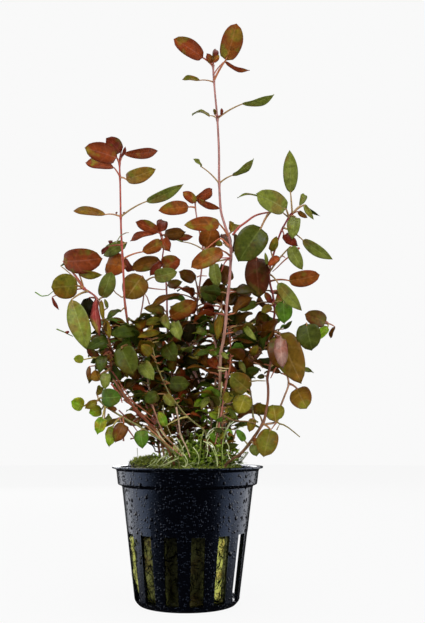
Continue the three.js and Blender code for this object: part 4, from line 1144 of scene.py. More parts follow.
        Leaf((31, 126), (30.4, 128.4, -9), (32.5, 133.8, -13), 3.2, 10, Tone.OLIVE),
        Leaf((30.6, 124.5), (33.4, 126.3, -15), (29.6, 123.4, -18), 3.0, 10, Tone.RUST),
        Leaf((31.5, 109.5), (30.4, 109.6, -10), (28.5, 113.2, -13), 2.4, 10, Tone.MAROON),
        Leaf((31.5, 109.5), (30.6, 108.4, -11), (27.4, 106.4, -14), 3.0, 10, Tone.OLIVE),
        Leaf((31.5, 109.5), (25.3, 109.4, -9), (18.6, 107.4, -13), 3.6, 10, Tone.FOREST),
        Leaf((31, 98.8), (35, 100, -12), (38.1, 102.9, -15), 1.6, 10, Tone.DARK),
        Leaf((30.9, 98.4), (30.2, 98.7, -12), (25.8, 98.3, -15), 1.8, 10, Tone.MAROON),
        Leaf((27.4, 65.3), (26.2, 68.4, -11), (27, 73.6, -7), 4.8, 5, Tone.OLIVE),
        Leaf((23, 58.8), (24, 58, -21), (25.2, 53.8, -24), 3.8, 5, Tone.GREEN),
        Leaf((29.8, 122), (29, 123, -12), (28.3, 128, -14), 1.4, 10, Tone.GREEN),
        Leaf((29.2, 82.5), (28, 82.8, -13), (25.6, 82.3, -15), 1.8, 10, Tone.DARK),
        Leaf((37, 140.8), (25.8, 148.6, -10), (18, 148.5, -8), 1.3, 60, Tone.GREEN),
        Leaf((38, 142), (43, 145.5, -3), (47.7, 141.2, -6), 1.2, 30, Tone.DARK),
        Leaf((22, 57.5), (20.8, 59, -21), (18, 63, -24), 2.6, 10, Tone.CLOVER),
        Leaf((24.3, 60.5), (24.4, 60.2, -20), (25.6, 57, -23), 1.8, 10, Tone.ORANGE),
        # A pinkish grey blade half in front of the brown leaf at this node, its colour partly
        # painted sheen
        Leaf((31.1, 97.6), (34, 97, -23), (34.4, 87.2, -30), 4.8, 10, Tone.DUSK),
      ),
      grown=(Stretch(0.45, 0.7, 2, 9, True),),
    ),
    ShootPlan(
      name="far_right",
      thick=0.4,
      bark=Bark.PINK,
      path=(
        (28.6, 65.2, -16), (32.6, 66.3, -13), (33.9, 71.6, -11), (35.2, 75, -10),
        (36.9, 80, -9), (36.3, 84, -8), (37.5, 91, -7), (40, 97, -7), (43.5, 100.8, -8),
        (47.3, 101.9, -9), (51.3, 102, -10),
      ),
      big=(
        Leaf((51.2, 102), (50.6, 102.6, -13), (43.2, 105.2, -18), 5.9, 5, Tone.BROWN),
        Leaf((43.5, 100.8), (43.4, 101.9, -19), (45.2, 93, -24), 8.6, 5, Tone.FOREST),
        Leaf((36.9, 80), (39.9, 78.3, -13), (43.3, 71.3, -19), 7.9, 5, Tone.AMBER),
      ),
      small=(
        Leaf((51.2, 102), (51.3, 100.8, -12), (47, 96.4, -14), 3.4, 10, Tone.GRASS),
        Leaf((51.2, 102), (53.8, 100.8, -8), (52, 96.6, -6), 1.8, 30, Tone.BROWN),
        Leaf((32.8, 66.6), (32.2, 66.2, -16), (31.2, 72.6, -14), 7.2, 5, Tone.GOLD),
      ),
      grown=(Stretch(0.45, 0.7, 2, 7, True),),
    ),
    ShootPlan(
      name="right_twig",
      thick=0.35,
      bark=Bark.STRAW,
      path=(
        (25.6, 65.9, -16.6), (24.2, 67, -15.5), (23.7, 70, -14.5), (23.5, 73, -14),
        (22.9, 77, -13.5),
      ),
      big=(Leaf((22.9, 77), (22.2, 77.6, -16), (16.2, 82.9, -21), 7.2, 5, Tone.OLIVE),),
      small=(
        Leaf((23.4, 74), (21.2, 75.8, -16), (18.6, 69.4, -19), 6.8, 5, Tone.GOLD),
        Leaf((24, 67.5), (23.9, 67.2, -18), (22.7, 63, -21), 3.0, 5, Tone.OLIVE),
      ),
    ),
    ShootPlan(
      name="back_left",
      thick=0.5,
      bark=Bark.RED,
      path=(
        (-9, 42, 9), (-10, 52, 11), (-12, 66, 16), (-15, 80, 21), (-18, 94, 25),
      ),
      grown=(Stretch(0.38, 1, 4, 15, False),),
    ),
    ShootPlan(
      name="back",
      thick=0.5,
      bark=Bark.PINK,
      path=(
        (1, 42, 13), (1, 55, 17), (0, 70, 23), (-2, 84, 29), (-4, 100, 33),
      ),
      grown=(Stretch(0.38, 1, 4, 15, False),),
    ),
    ShootPlan(
      name="back_right",
      thick=0.5,
      bark=Bark.WINE,
      path=(
        (9, 42, 8), (10.5, 55, 12), (14, 70, 18), (18, 84, 24), (21, 101, 28),
      ),
      grown=(Stretch(0.38, 1, 4, 15, False),),
    ),
)


@dataclass(frozen=True)
class BladeForm:
    """The shape of one leaf blade, a unit long and a unit from its midrib to either edge."""

    widest: float  # share of the length where the blade is widest
    fullness: float  # below 1 the shoulders are round, above 1 the ends are slim
    bow: float
    fold: float
    wave: float
    droop: float
    tip: float = 0.2  # how much slimmer the end is than the start
    rows: int = 14
    columns: int = 9
    skin: float = 0.013

    def lift(self, along: float, side: float, half: float) -> float:
        """Works out how high the blade stands at a spot.

        Args:
            along: The share of the length.
            side: The way across, from -1 at one edge to 1 at the other.
            half: The half width there.

        Returns:
            The height of the blade's upper face.
        """
        lift = self.bow * math.sin(math.pi * along) - self.droop * along**3
        lift += self.fold * abs(side) ** 1.5 * half
        lift += self.wave * side * side * math.sin(9 * along + 1.7 * side)
        return lift - 0.012 * math.exp(-((side / 0.12) ** 2))

    def build(self, name: str) -> Mesh:
        """Makes the closed blade, with its veins' map.

        Args:
            name: The mesh's name.

        Returns:
            The blade, which lies along +Y and faces +Z.
        """
        bend = math.log(0.5) / math.log(self.widest)
        tops, lows = [], []
        for row in range(self.rows):
            along = row / (self.rows - 1)
            slim = self.fullness + self.tip * along**4
            half = max(0.02, math.sin(math.pi * along**bend) ** slim)
            for column in range(self.columns):
                side = 2 * column / (self.columns - 1) - 1
                lift = self.lift(along, side, half)
                rib = 1 + 1.6 * math.exp(-((side / 0.15) ** 2)) * (1 - 0.7 * along)
                tops.append((side * half, along, lift))
                lows.append((side * half, along, lift - self.skin * rib))
        faces = []
        sheet = self.rows * self.columns
        for row in range(self.rows - 1):
            for a in range(row * self.columns, (row + 1) * self.columns - 1):
                quad = (a, a + 1, a + self.columns + 1, a + self.columns)
                faces += [quad, tuple(sheet + i for i in reversed(quad))]
        rim = [*range(self.columns - 1), *range(self.columns - 1, sheet - 1, self.columns)]
        rim += [sheet - 1 - i for i in rim]
        for a, b in zip(rim, rim[1:] + rim[:1]):
            faces.append((b, a, sheet + a, sheet + b))
        mesh = new_mesh(name, tops + lows, faces=faces, smooth=True)
        layer = mesh.uv_layers.new(name="UVMap")
        for loop in mesh.loops:
            row, column = divmod(loop.vertex_index % sheet, self.columns)
            layer.data[loop.index].uv = (column / (self.columns - 1), row / (self.rows - 1))
        return mesh


BROAD_FORMS = (
    BladeForm(widest=0.5, fullness=0.42, bow=0.09, fold=0.05, wave=0.016, droop=0.06, tip=0.05),
    BladeForm(widest=0.54, fullness=0.4, bow=0.06, fold=0.08, wave=0.024, droop=0.1, tip=0.0),
    BladeForm(widest=0.46, fullness=0.45, bow=0.11, fold=0.03, wave=0.02, droop=0.03, tip=0.2),
    BladeForm(widest=0.49, fullness=0.38, bow=0.05, fold=0.06, wave=0.03, droop=0.12, tip=0.1),
)
SLIM_FORMS = (
    BladeForm(widest=0.48, fullness=0.58, bow=0.08, fold=0.03, wave=0.01, droop=0.05, tip=0.25),
    BladeForm(widest=0.52, fullness=0.64, bow=0.05, fold=0.04, wave=0.014, droop=0.09),
)
FINE_FORMS = BROAD_FORMS + SLIM_FORMS  # for the leaves that are pieces of their own
LIGHT_FORMS = tuple(
    replace(f, rows=9, columns=5, wave=2.4 * f.wave, bow=1.4 * f.bow, droop=1.5 * f.droop)
    for f in FINE_FORMS
)
SLIM_BELOW = 0.36  # width over length
STALK = 0xAC5A48


class ShootCurve:
    """A shoot's middle line: a centripetal curve through its places, in points 0.4 mm apart."""

    def __init__(self, places: Sequence[Place]) -> None:
        """Works the curve out.

        Args:
            places: The places that it goes through, from its foot to its tip.
        """
        ends = np.array([SIGHT.seen(*place) for place in places])
        ends = np.vstack([2 * ends[0] - ends[1], ends, 2 * ends[-1] - ends[-2]])
        spans = [self.span(*ends[i - 1 : i + 3]) for i in range(1, len(ends) - 2)]
        fine = np.vstack([*spans, ends[-2:-1]])
        lengths = np.concatenate([[0], np.cumsum(np.linalg.norm(np.diff(fine, axis=0), axis=1))])
        self.length = float(lengths[-1])
        self.reaches = np.linspace(0, self.length, max(8, round(self.length / 0.4)))
        ways = [np.interp(self.reaches, lengths, fine[:, k]) for k in range(3)]
        self.points = np.column_stack(ways)

    @staticmethod
    def span(
        before: np.ndarray, start: np.ndarray, stop: np.ndarray, after: np.ndarray
    ) -> np.ndarray:
        """Works out the curve between two of its places.

        Args:
            before: The place before the span.
            start: Where the span starts.
            stop: Where it stops.
            after: The place after it.

        Returns:
            Points from start up to stop, which is left out.
        """
        first, middle, last = (
            math.sqrt(float(np.linalg.norm(b - a)))
            for a, b in ((before, start), (start, stop), (stop, after))
        )
        leave = (start - before) / first - (stop - before) / (first + middle)
        leave = leave + (stop - start) / middle
        reach = (stop - start) / middle - (after - start) / (middle + last) + (after - stop) / last
        leave, reach = leave * middle, reach * middle
        share = np.linspace(0, 1, 24, endpoint=False)[:, None]
        cubic = 2 * start - 2 * stop + leave + reach
        square = 3 * stop - 3 * start - 2 * leave - reach
        return start + leave * share + square * share**2 + cubic * share**3

    def at(self, share: float) -> np.ndarray:
        """Returns the point at a share of the length, from 0 to 1."""
        reach = share * self.length
        return np.array([np.interp(reach, self.reaches, self.points[:, k]) for k in range(3)])

    def heading(self, share: float) -> np.ndarray:
        """Returns the curve's direction at a share of the length, from 0 to 1."""
        step = self.at(min(1.0, share + 0.01)) - self.at(max(0.0, share - 0.01))
        return step / np.linalg.norm(step)

    def chord(self, share: float, stretch: float = 11.0) -> np.ndarray:
        """Finds a point on straight stretches between the curve's points.

        Args:
            share: The share of the length, from 0 to 1.
            stretch: The length of one straight stretch, in millimetres.

        Returns:
            The point in millimetres.
        """
        steps = max(3, round(self.length / stretch))
        first = min(int(share * steps), steps - 1)
        start, stop = self.at(first / steps), self.at((first + 1) / steps)
        return start + (stop - start) * (share * steps - first)

    def nearest(self, across: float, up: float) -> int:
        """Returns the number of the point that is seen nearest to a place across and up."""
        misses = [np.linalg.norm(p - SIGHT.seen(across, up, p[1])) for p in self.points]
        return int(np.argmin(misses))


@dataclass
class Sprig:
    """Wires and leaf points of one piece, from which the shoot tree grows its stalks and blades."""

    name: str
    points: list[np.ndarray] = field(default_factory=list)
    edges: list[tuple[int, int]] = field(default_factory=list)
    rows: list[dict[str, Any]] = field(default_factory=list)

    def put(self, point: np.ndarray, **values: Any) -> None:
        """Adds a point with those of its values that aren't nought."""
        self.points.append(np.asarray(point, float))
        self.rows.append({name: nought for name, (_, nought) in LAYERS.items()} | values)

    def add_wire(self, line: np.ndarray, radii: np.ndarray, tints: np.ndarray) -> None:
        """Adds a wire that becomes a stalk.

        Args:
            line: Its points.
            radii: The stalk's radius at each, in millimetres.
            tints: The stalk's linear colour at each, or one for all.
        """
        start = len(self.points)
        for point, radius, tint in zip(line, radii, np.broadcast_to(tints, (len(line), 4))):
            self.put(point, radius=float(radius) * MM, centre=tuple(tint))
        self.edges += [(i, i + 1) for i in range(start, start + len(line) - 1)]

    def add_leaf(
        self,
        foot: np.ndarray,
        neck: np.ndarray,
        end: np.ndarray,
        wide: float,
        face: np.ndarray,
        tone: Tone,
        rng: np.random.Generator,
        fine: bool = False,
    ) -> None:
        """Adds a leaf: a stalk from foot to neck and a blade from neck to end.

        Args:
            foot: Where the stalk leaves the stem.
            neck: Where the blade starts.
            end: The blade's tip.
            wide: The blade's full width.
            face: The way that its upper side looks.
            tone: Its colours.
            rng: The source of its small differences from the next leaf.
            fine: Whether it gets one of the fine forms.
        """
        along = end - neck
        length = float(np.linalg.norm(along))
        axis = along / length
        out = face - axis * face.dot(axis)
        out = out / np.linalg.norm(out)
        turned = Matrix([np.cross(axis, out), axis, out]).transposed()
        light = rng.uniform(0.85, 1.18)
        centre, edge, rib = (np.array(linear(hue)) for hue in tone.value)
        centre[:3] *= light
        edge[:3] *= light * rng.uniform(0.85, 1.15)
        form = int(rng.integers(len(BROAD_FORMS)))
        if wide / length < SLIM_BELOW:
            form = len(BROAD_FORMS) + form % len(SLIM_FORMS)
        self.put(
            neck,
            is_leaf=True,
            form=form if fine else form + len(FINE_FORMS),
            facing=tuple(turned.to_euler()),
            size=(wide / 2, length, length),
            centre=tuple(centre),
            edge=tuple(edge),
            rib=tuple(rib),
        )
        reach = float(np.linalg.norm(neck - foot))
        middle = (foot + neck) / 2 + np.array([0, 0, min(1.2, 0.12 * reach)])
        share = np.linspace(0, 1, max(4, round(reach / 1.5) + 2))[:, None]
        line = (1 - share) ** 2 * foot + 2 * share * (1 - share) * middle + share**2 * neck
        line = np.vstack([line, neck + axis * length * 0.1])
        thick = 0.2 + 0.022 * wide
        radii = np.linspace(1.25 * thick, 0.75 * thick, len(line))
        radii[-1] = 0.4 * thick
        self.add_wire(line, radii, 0.45 * np.array(linear(STALK)) + 0.55 * rib)

    def build(self, tree: Tree, inputs: dict[str, Any]) -> Mesh:
        """Grows the stalks and blades.

        Args:
            tree: The shoot tree.
            inputs: Its named inputs.

        Returns:
            The grown mesh.
        """
        values = {
            label: (kind, np.array([row[label] for row in self.rows]))
            for label, (kind, _) in LAYERS.items()
        }
        return grow(new_mesh(self.name, self.points, self.edges, **values), tree, inputs)


@dataclass(frozen=True)
class Twig:
    """A fine stalk, bud or hair without blades of its own, at the depth of the shoot it leaves."""

    shoot: str
    thick: float
    tint: int
    path: tuple[tuple[float, float], ...]
    nearer: float = 0.0  # how far it stands in front of the shoot


TWIGS = (
    Twig("left", 0.24, 0x8A8A70, ((-26.3, 131.5), (-25, 133.5), (-24.3, 134.6)), 1),
    Twig("left", 0.24, 0x9A8A78, ((-24.3, 134.4), (-22.5, 135.2), (-21.5, 135.3)), 1),
    Twig("left", 0.26, 0x8A6A50, ((-23.4, 112), (-24, 111.5), (-26.5, 113.3), (-28, 115.7)), 1),
    Twig("middle", 0.26, 0xA87868, ((-14, 109), (-14.8, 111.5), (-15.7, 112.8)), 2),
    Twig("pink", 0.26, 0xA87868, ((-14.7, 115.1), (-12, 114.7), (-9, 114.4), (-7.6, 114.5)), 2),
    Twig("whorl", 0.26, 0xA86A58, ((3.3, 119), (4.5, 119.5), (7, 119.4)), 1),
    Twig(
        "tall", 0.3, 0xC07050,
        ((15.7, 130), (12.3, 133.2), (11, 132.7), (9, 131.2), (6.7, 129.3)),
        2,
    ),
    Twig("tall", 0.3, 0xA84A40, ((15.6, 126), (14.9, 125.8), (13.5, 124.3), (12.2, 121)), 2),
    Twig("tall", 0.28, 0xA84A40, ((15.5, 126), (14, 126), (12, 126)), 3),
    Twig("right", 0.26, 0xC08078, ((33.8, 126.6), (35, 126.6), (35.7, 126)), 1),
    Twig("right", 0.26, 0x9A5A44, ((36.7, 126.2), (35, 124.8), (32.5, 122.3), (31, 121)), 1),
    Twig("low_left", 0.24, 0x7A8A50, ((-48, 100), (-45, 98.8), (-43.3, 97.9), (-42, 97.3)), 0),
    Twig(
        "low_left", 0.26, 0x8A6A3A,
        ((-28.8, 100.8), (-26.5, 101.4), (-25, 101), (-23.8, 100.2)),
        2,
    ),
    Twig("red", 0.26, 0x9A6A50, ((24, 87.8), (26, 87.2), (27.6, 85.7)), 1),
    Twig("red", 0.26, 0x8A7A50, ((22.5, 80.8), (25.5, 81.1), (28.5, 81)), 2),
    Twig("right", 0.26, 0x9A5A44, ((32.3, 86), (31, 83.5), (30.3, 82)), 2),
    Twig("whorl", 0.24, 0x8A8A60, ((4, 88), (6, 87.7), (8, 87.5)), 3),
    Twig("whorl", 0.24, 0x8A8A60, ((4, 86.5), (6, 86.4), (8, 86)), 3),
    Twig("tall", 0.26, 0xB0A070, ((11, 86), (14, 85.5), (15.2, 85.6)), 3),
    Twig("tall", 0.26, 0xB0A070, ((11, 84.8), (13, 84.7), (14.3, 85)), 3),
    Twig(
        "right", 0.28, 0x7A6A30,
        ((32.4, 66.2), (33.6, 65.3), (35, 65), (37, 63.8), (39.5, 61.8), (41, 60.5)),
        1,
    ),
    Twig("right", 0.2, 0x8A6A3A, ((32.5, 63), (33, 64), (33.5, 65)), 1),
    Twig("right", 0.28, 0x9A6A50, ((32.7, 66), (31.8, 65), (30.5, 63.2)), 1),
    Twig("right", 0.28, 0x9A6A50, ((36.9, 79.7), (38.3, 79.6), (39.5, 78.8), (40.2, 78)), 1),
    Twig("thin", 0.32, 0x4A4A2A, ((13, 67), (15, 66.5), (19, 66), (21, 66)), 3),
    Twig("slanting", 0.3, 0x8A5A48, ((21.7, 71.7), (22.5, 71), (23.5, 70.5)), 1),
    Twig("slanting", 0.3, 0x8A5A48, ((23, 73.8), (22.4, 73), (22, 72.5)), 1),
    Twig("slanting", 0.35, 0x9A9A80, ((22, 55), (21, 53.5), (19.7, 51.8), (19, 51)), 1),
    Twig("slanting", 0.35, 0x5A4A3A, ((19.5, 53.8), (17, 52), (14.5, 50.3)), 1),
    Twig("trailing", 0.26, 0x8A4A38, ((-22, 63.5), (-20.5, 61.5), (-19.5, 60)), 1),
    Twig("trailing", 0.26, 0x8A4A38, ((-21, 59.8), (-20.2, 60), (-19.5, 60)), 1),
    Twig("trailing", 0.26, 0xB07A70, ((-25, 67.5), (-24.6, 66.5), (-24.3, 65.5)), 1),
    Twig("trailing", 0.26, 0x8A6A40, ((-27.5, 64), (-26.5, 66.3), (-25.2, 67.5)), 1),
    Twig("trailing", 0.12, 0x9A9A80, ((-18.5, 56.5), (-18.4, 54.5), (-18.4, 52.5)), 1),
    Twig("low_left", 0.3, 0x9A4A40, ((-28, 80), (-24.5, 75.5), (-24, 73)), 1),
    Twig("short", 0.32, 0x9A8A50, ((11.8, 80), (11.5, 76), (11.3, 73.5)), 2),
    Twig(
        "low_left", 0.24, 0x6A8A40,
        ((-55.8, 113.5), (-53.5, 112), (-51, 112.3), (-49.2, 113.8)),
        0,
    ),
    Twig(
        "low_left", 0.24, 0x84483A,
        ((-27.8, 84.6), (-25.9, 82), (-24.1, 79.1), (-22.3, 76.5), (-20.1, 73.6)),
        2,
    ),
    Twig(
        "low_left", 0.22, 0x7A3426,
        ((-25.2, 70.3), (-23, 68.1), (-20.8, 65.9), (-19.3, 63.7), (-17.5, 61.5), (-16.4, 60.4)),
        2,
    ),
    Twig(
        "low_left", 0.22, 0x8A4830,
        ((-23.4, 74.3), (-21.2, 72.5), (-19, 70.7), (-16.4, 68.8), (-13.8, 67), (-12, 65.2)),
        2,
    ),
    Twig(
        "low_left", 0.22, 0x94543C,
        ((-21.9, 74.7), (-19.3, 72.9), (-16.8, 71), (-14.6, 69.2), (-12.7, 67.7)),
        2,
    ),
    Twig(
        "low_left", 0.24, 0x843C2C,
        ((-20.1, 70.7), (-17.9, 68.8), (-15.3, 66.6), (-13.1, 64.8), (-10.9, 62.6)),
        2,
    ),
    Twig(
        "low_left", 0.24, 0xA87860,
        ((-13.1, 72.5), (-12, 69.6), (-10.9, 66.3), (-9.4, 63), (-7.6, 60.4), (-5.4, 57.9),
         (-3.6, 55.3)),
        2,
    ),
    Twig(
        "low_left", 0.24, 0xB8B080,
        ((-10.2, 63.4), (-8.3, 60.8), (-6.2, 58.6), (-3.6, 56.4), (-1.4, 53.5)),
        2,
    ),
    Twig(
        "low_left", 0.26, 0xC8C49A,
        ((-11.6, 63.7), (-10.2, 60.8), (-8.3, 58.6), (-6.2, 56), (-4.3, 53.1)),
        2,
    ),
    Twig(
        "crossing", 0.3, 0xB89A80,
        ((-4.3, 71.4), (-3.6, 68.1), (-3.2, 65.2), (-2.9, 62.3), (-1.8, 59.3), (-0.3, 56.4),
         (0.8, 53.1)),
        2,
    ),
    Twig("short", 0.3, 0xB08078, ((1.9, 84.6), (3.7, 81.3), (5.2, 77.6), (5.9, 75.1)), 2),
    Twig(
        "tall", 0.28, 0xA8A068,
        ((12.5, 80.6), (12.2, 76.9), (11.8, 73.2), (11.4, 69.6), (10.7, 65.2), (10, 60.8)),
        2,
    ),
    Twig(
        "red", 0.3, 0xB07060,
        ((14.7, 83.5), (14, 79.5), (13.6, 75.8), (12.5, 71), (11.8, 66.6), (11.1, 62.3),
         (10, 57.9)),
        2,
    ),
    Twig(
        "right", 0.28, 0x7A5A3C,
        ((12.5, 68.8), (15.5, 67), (18.4, 66.3), (21.3, 66.3), (24.6, 65.5)),
        2,
    ),
    Twig("right_twig", 0.24, 0x5A4A34, ((22.4, 79.5), (23.1, 76.5), (23.5, 73.2), (23.9, 70.3)), 2),
    Twig("crossing", 0.24, 0xD8DCC0, ((6.7, 60.1), (7.8, 62.6), (9.6, 63.7), (12.2, 64.1)), 2),
    Twig("crossing", 0.22, 0xD0D4B0, ((14.7, 60.4), (14, 62.6), (15.1, 64.8), (16.9, 66.3)), 2),
    Twig("slanting", 0.24, 0xC8CCB8, ((21.7, 54.9), (20.2, 52.7), (19.5, 50.5)), 2),
    Twig(
        "tall", 0.26, 0xC0C090,
        ((15.8, 66.6), (14.4, 63.7), (12.5, 60.4), (11.4, 57.1), (10.7, 53.5)),
        2,
    ),
    Twig(
        "trailing", 0.26, 0xA0704C,
        ((-15.3, 64.8), (-13.1, 62.6), (-10.5, 60.4), (-8, 58.2), (-5.1, 56), (-2.1, 53.5)),
        2,
    ),
    Twig(
        "whorl", 0.28, 0xA87060,
        ((-7.3, 76.9), (-6.2, 73.2), (-5.4, 69.6), (-4.3, 65.2), (-3.2, 60.8)),
        2,
    ),
    Twig(
        "pink", 0.26, 0x8A4A40,
        ((-13.8, 74.7), (-13.1, 71), (-12.4, 67.4), (-11.3, 64.1), (-9.4, 60.4)),
        2,
    ),
    Twig("pink", 0.26, 0x9A5A4A, ((-15.3, 72.5), (-14.2, 69.6), (-12.7, 66.6), (-10.9, 63.7)), 2),
    Twig(
        "pink", 0.24, 0xB0A878,
        ((-9.1, 72.1), (-8.7, 68.5), (-7.6, 64.5), (-5.8, 60.4), (-3.6, 56.8)),
        2,
    ),
    Twig("short", 0.26, 0xB0A878, ((3, 63.7), (2.3, 60.8), (1.9, 57.5), (2.3, 53.8)), 2),
    Twig("middle", 0.26, 0x9AA85C, ((-0.3, 64.8), (0.1, 61.2), (0.4, 57.5), (0.8, 53.5)), 2),
    Twig("thin", 0.26, 0xA8B060, ((5.9, 63), (4.8, 59.3), (4.5, 55.7), (4.5, 52)), 2),
    Twig("red", 0.26, 0x98A858, ((14, 63), (12.9, 59.3), (12.5, 55.7), (12.9, 52)), 2),
    Twig("slanting", 0.26, 0x9A7050, ((17.7, 63), (16.6, 59.3), (15.5, 55.7), (14.7, 52)), 2),
    Twig("left", 0.75, 0x5A2A20, ((-28.9, 131.6), (-28.2, 131.9), (-27.5, 132)), 1),
    Twig("right", 0.6, 0x9A3A34, ((39.8, 129), (40.3, 129.4), (40.9, 129.6)), 1),
    Twig("left", 0.4, 0x5A2A24, ((-26.3, 142.2), (-25.8, 142.8)), 1),
    Twig("left", 0.4, 0x5A2A24, ((-23.6, 142.2), (-23.1, 142.8)), 1),
    Twig("low_left", 0.6, 0x8A3028, ((-44.5, 98.6), (-43.9, 98.9), (-43.4, 98.9)), 0),
    Twig("tall", 0.5, 0xA06A60, ((13.8, 82), (14.1, 83.5), (14, 85)), 3),
    Twig("trailing", 0.3, 0x7A4A38, ((-23.5, 59), (-23.5, 61)), 1),
)


@dataclass(frozen=True)
class Thicket:
    """Small shaded leaves that crowd along a shoot inside the bush, in turned pairs."""

    shoot: str
    low: float  # heights between which they stand
    high: float
    pairs: int
    length: float
    back_only: bool = False
    light: bool = False  # pale green young leaves, low down at the right


THICKETS = (
    Thicket("whorl", 56, 101, 18, 9),
    Thicket("middle", 56, 114, 20, 9.9),
    Thicket("short", 55, 100, 17, 8.6),
    Thicket("back_left", 56, 97, 15, 9.5),
    Thicket("back", 56, 104, 15, 9.9),
    Thicket("back_right", 56, 104, 15, 9.5),
    Thicket("left", 58, 98, 16, 8.6),
    Thicket("pink", 58, 98, 15, 8.2),
    Thicket("slanting", 56, 100, 15, 8.6),
    Thicket("crossing", 58, 98, 12, 7.7, back_only=True),
    Thicket("red", 58, 103, 13, 8.2, back_only=True),
    Thicket("thin", 60, 108, 13, 7.7, back_only=True),
    Thicket("low_left", 66, 100, 12, 7.7, back_only=True),
    Thicket("low_left", 82, 97, 12, 6),
    Thicket("tall", 60, 112, 15, 8.2, back_only=True),
    Thicket("right", 84, 112, 7, 7.3, back_only=True),
    Thicket("pink", 54, 78, 11, 8.6),
    Thicket("whorl", 53, 78, 11, 8.6),
    Thicket("left", 54, 80, 11, 8.6),
    Thicket("low_left", 57, 80, 11, 7.7, back_only=True),
    Thicket("middle", 53, 76, 9, 8.6),
    Thicket("back_left", 53, 76, 11, 10.3),
    Thicket("back", 54, 78, 11, 10.3),
    Thicket("back_right", 54, 74, 9, 8.6, light=True),
    Thicket("short", 53, 72, 9, 8.6, light=True),
    Thicket("thin", 52, 74, 11, 7.7, light=True),
    Thicket("red", 52, 74, 11, 7.7, light=True),
    Thicket("slanting", 53, 72, 9, 7.7, light=True),
)
SHADE_TONES = (
    *(Tone.DARK, Tone.DARK, Tone.FOREST, Tone.BROWN, Tone.BROWN),
    *(Tone.UMBER, Tone.BROWN, Tone.CLOVER, Tone.OLIVE, Tone.RUST),
)
YOUNG_TONES = (Tone.LIME, Tone.CLOVER, Tone.GRASS, Tone.GOLD, Tone.FOREST, Tone.AMBER)
GROWN_TONES = {
    Bark.PINK: (Tone.OLIVE, Tone.GREEN, Tone.BROWN),
    Bark.RED: (Tone.RUST, Tone.ORANGE, Tone.OLIVE, Tone.GREEN),
    Bark.WINE: (Tone.MAROON, Tone.BROWN, Tone.GREEN),
    Bark.STRAW: (Tone.GREEN, Tone.DARK, Tone.OLIVE),
}


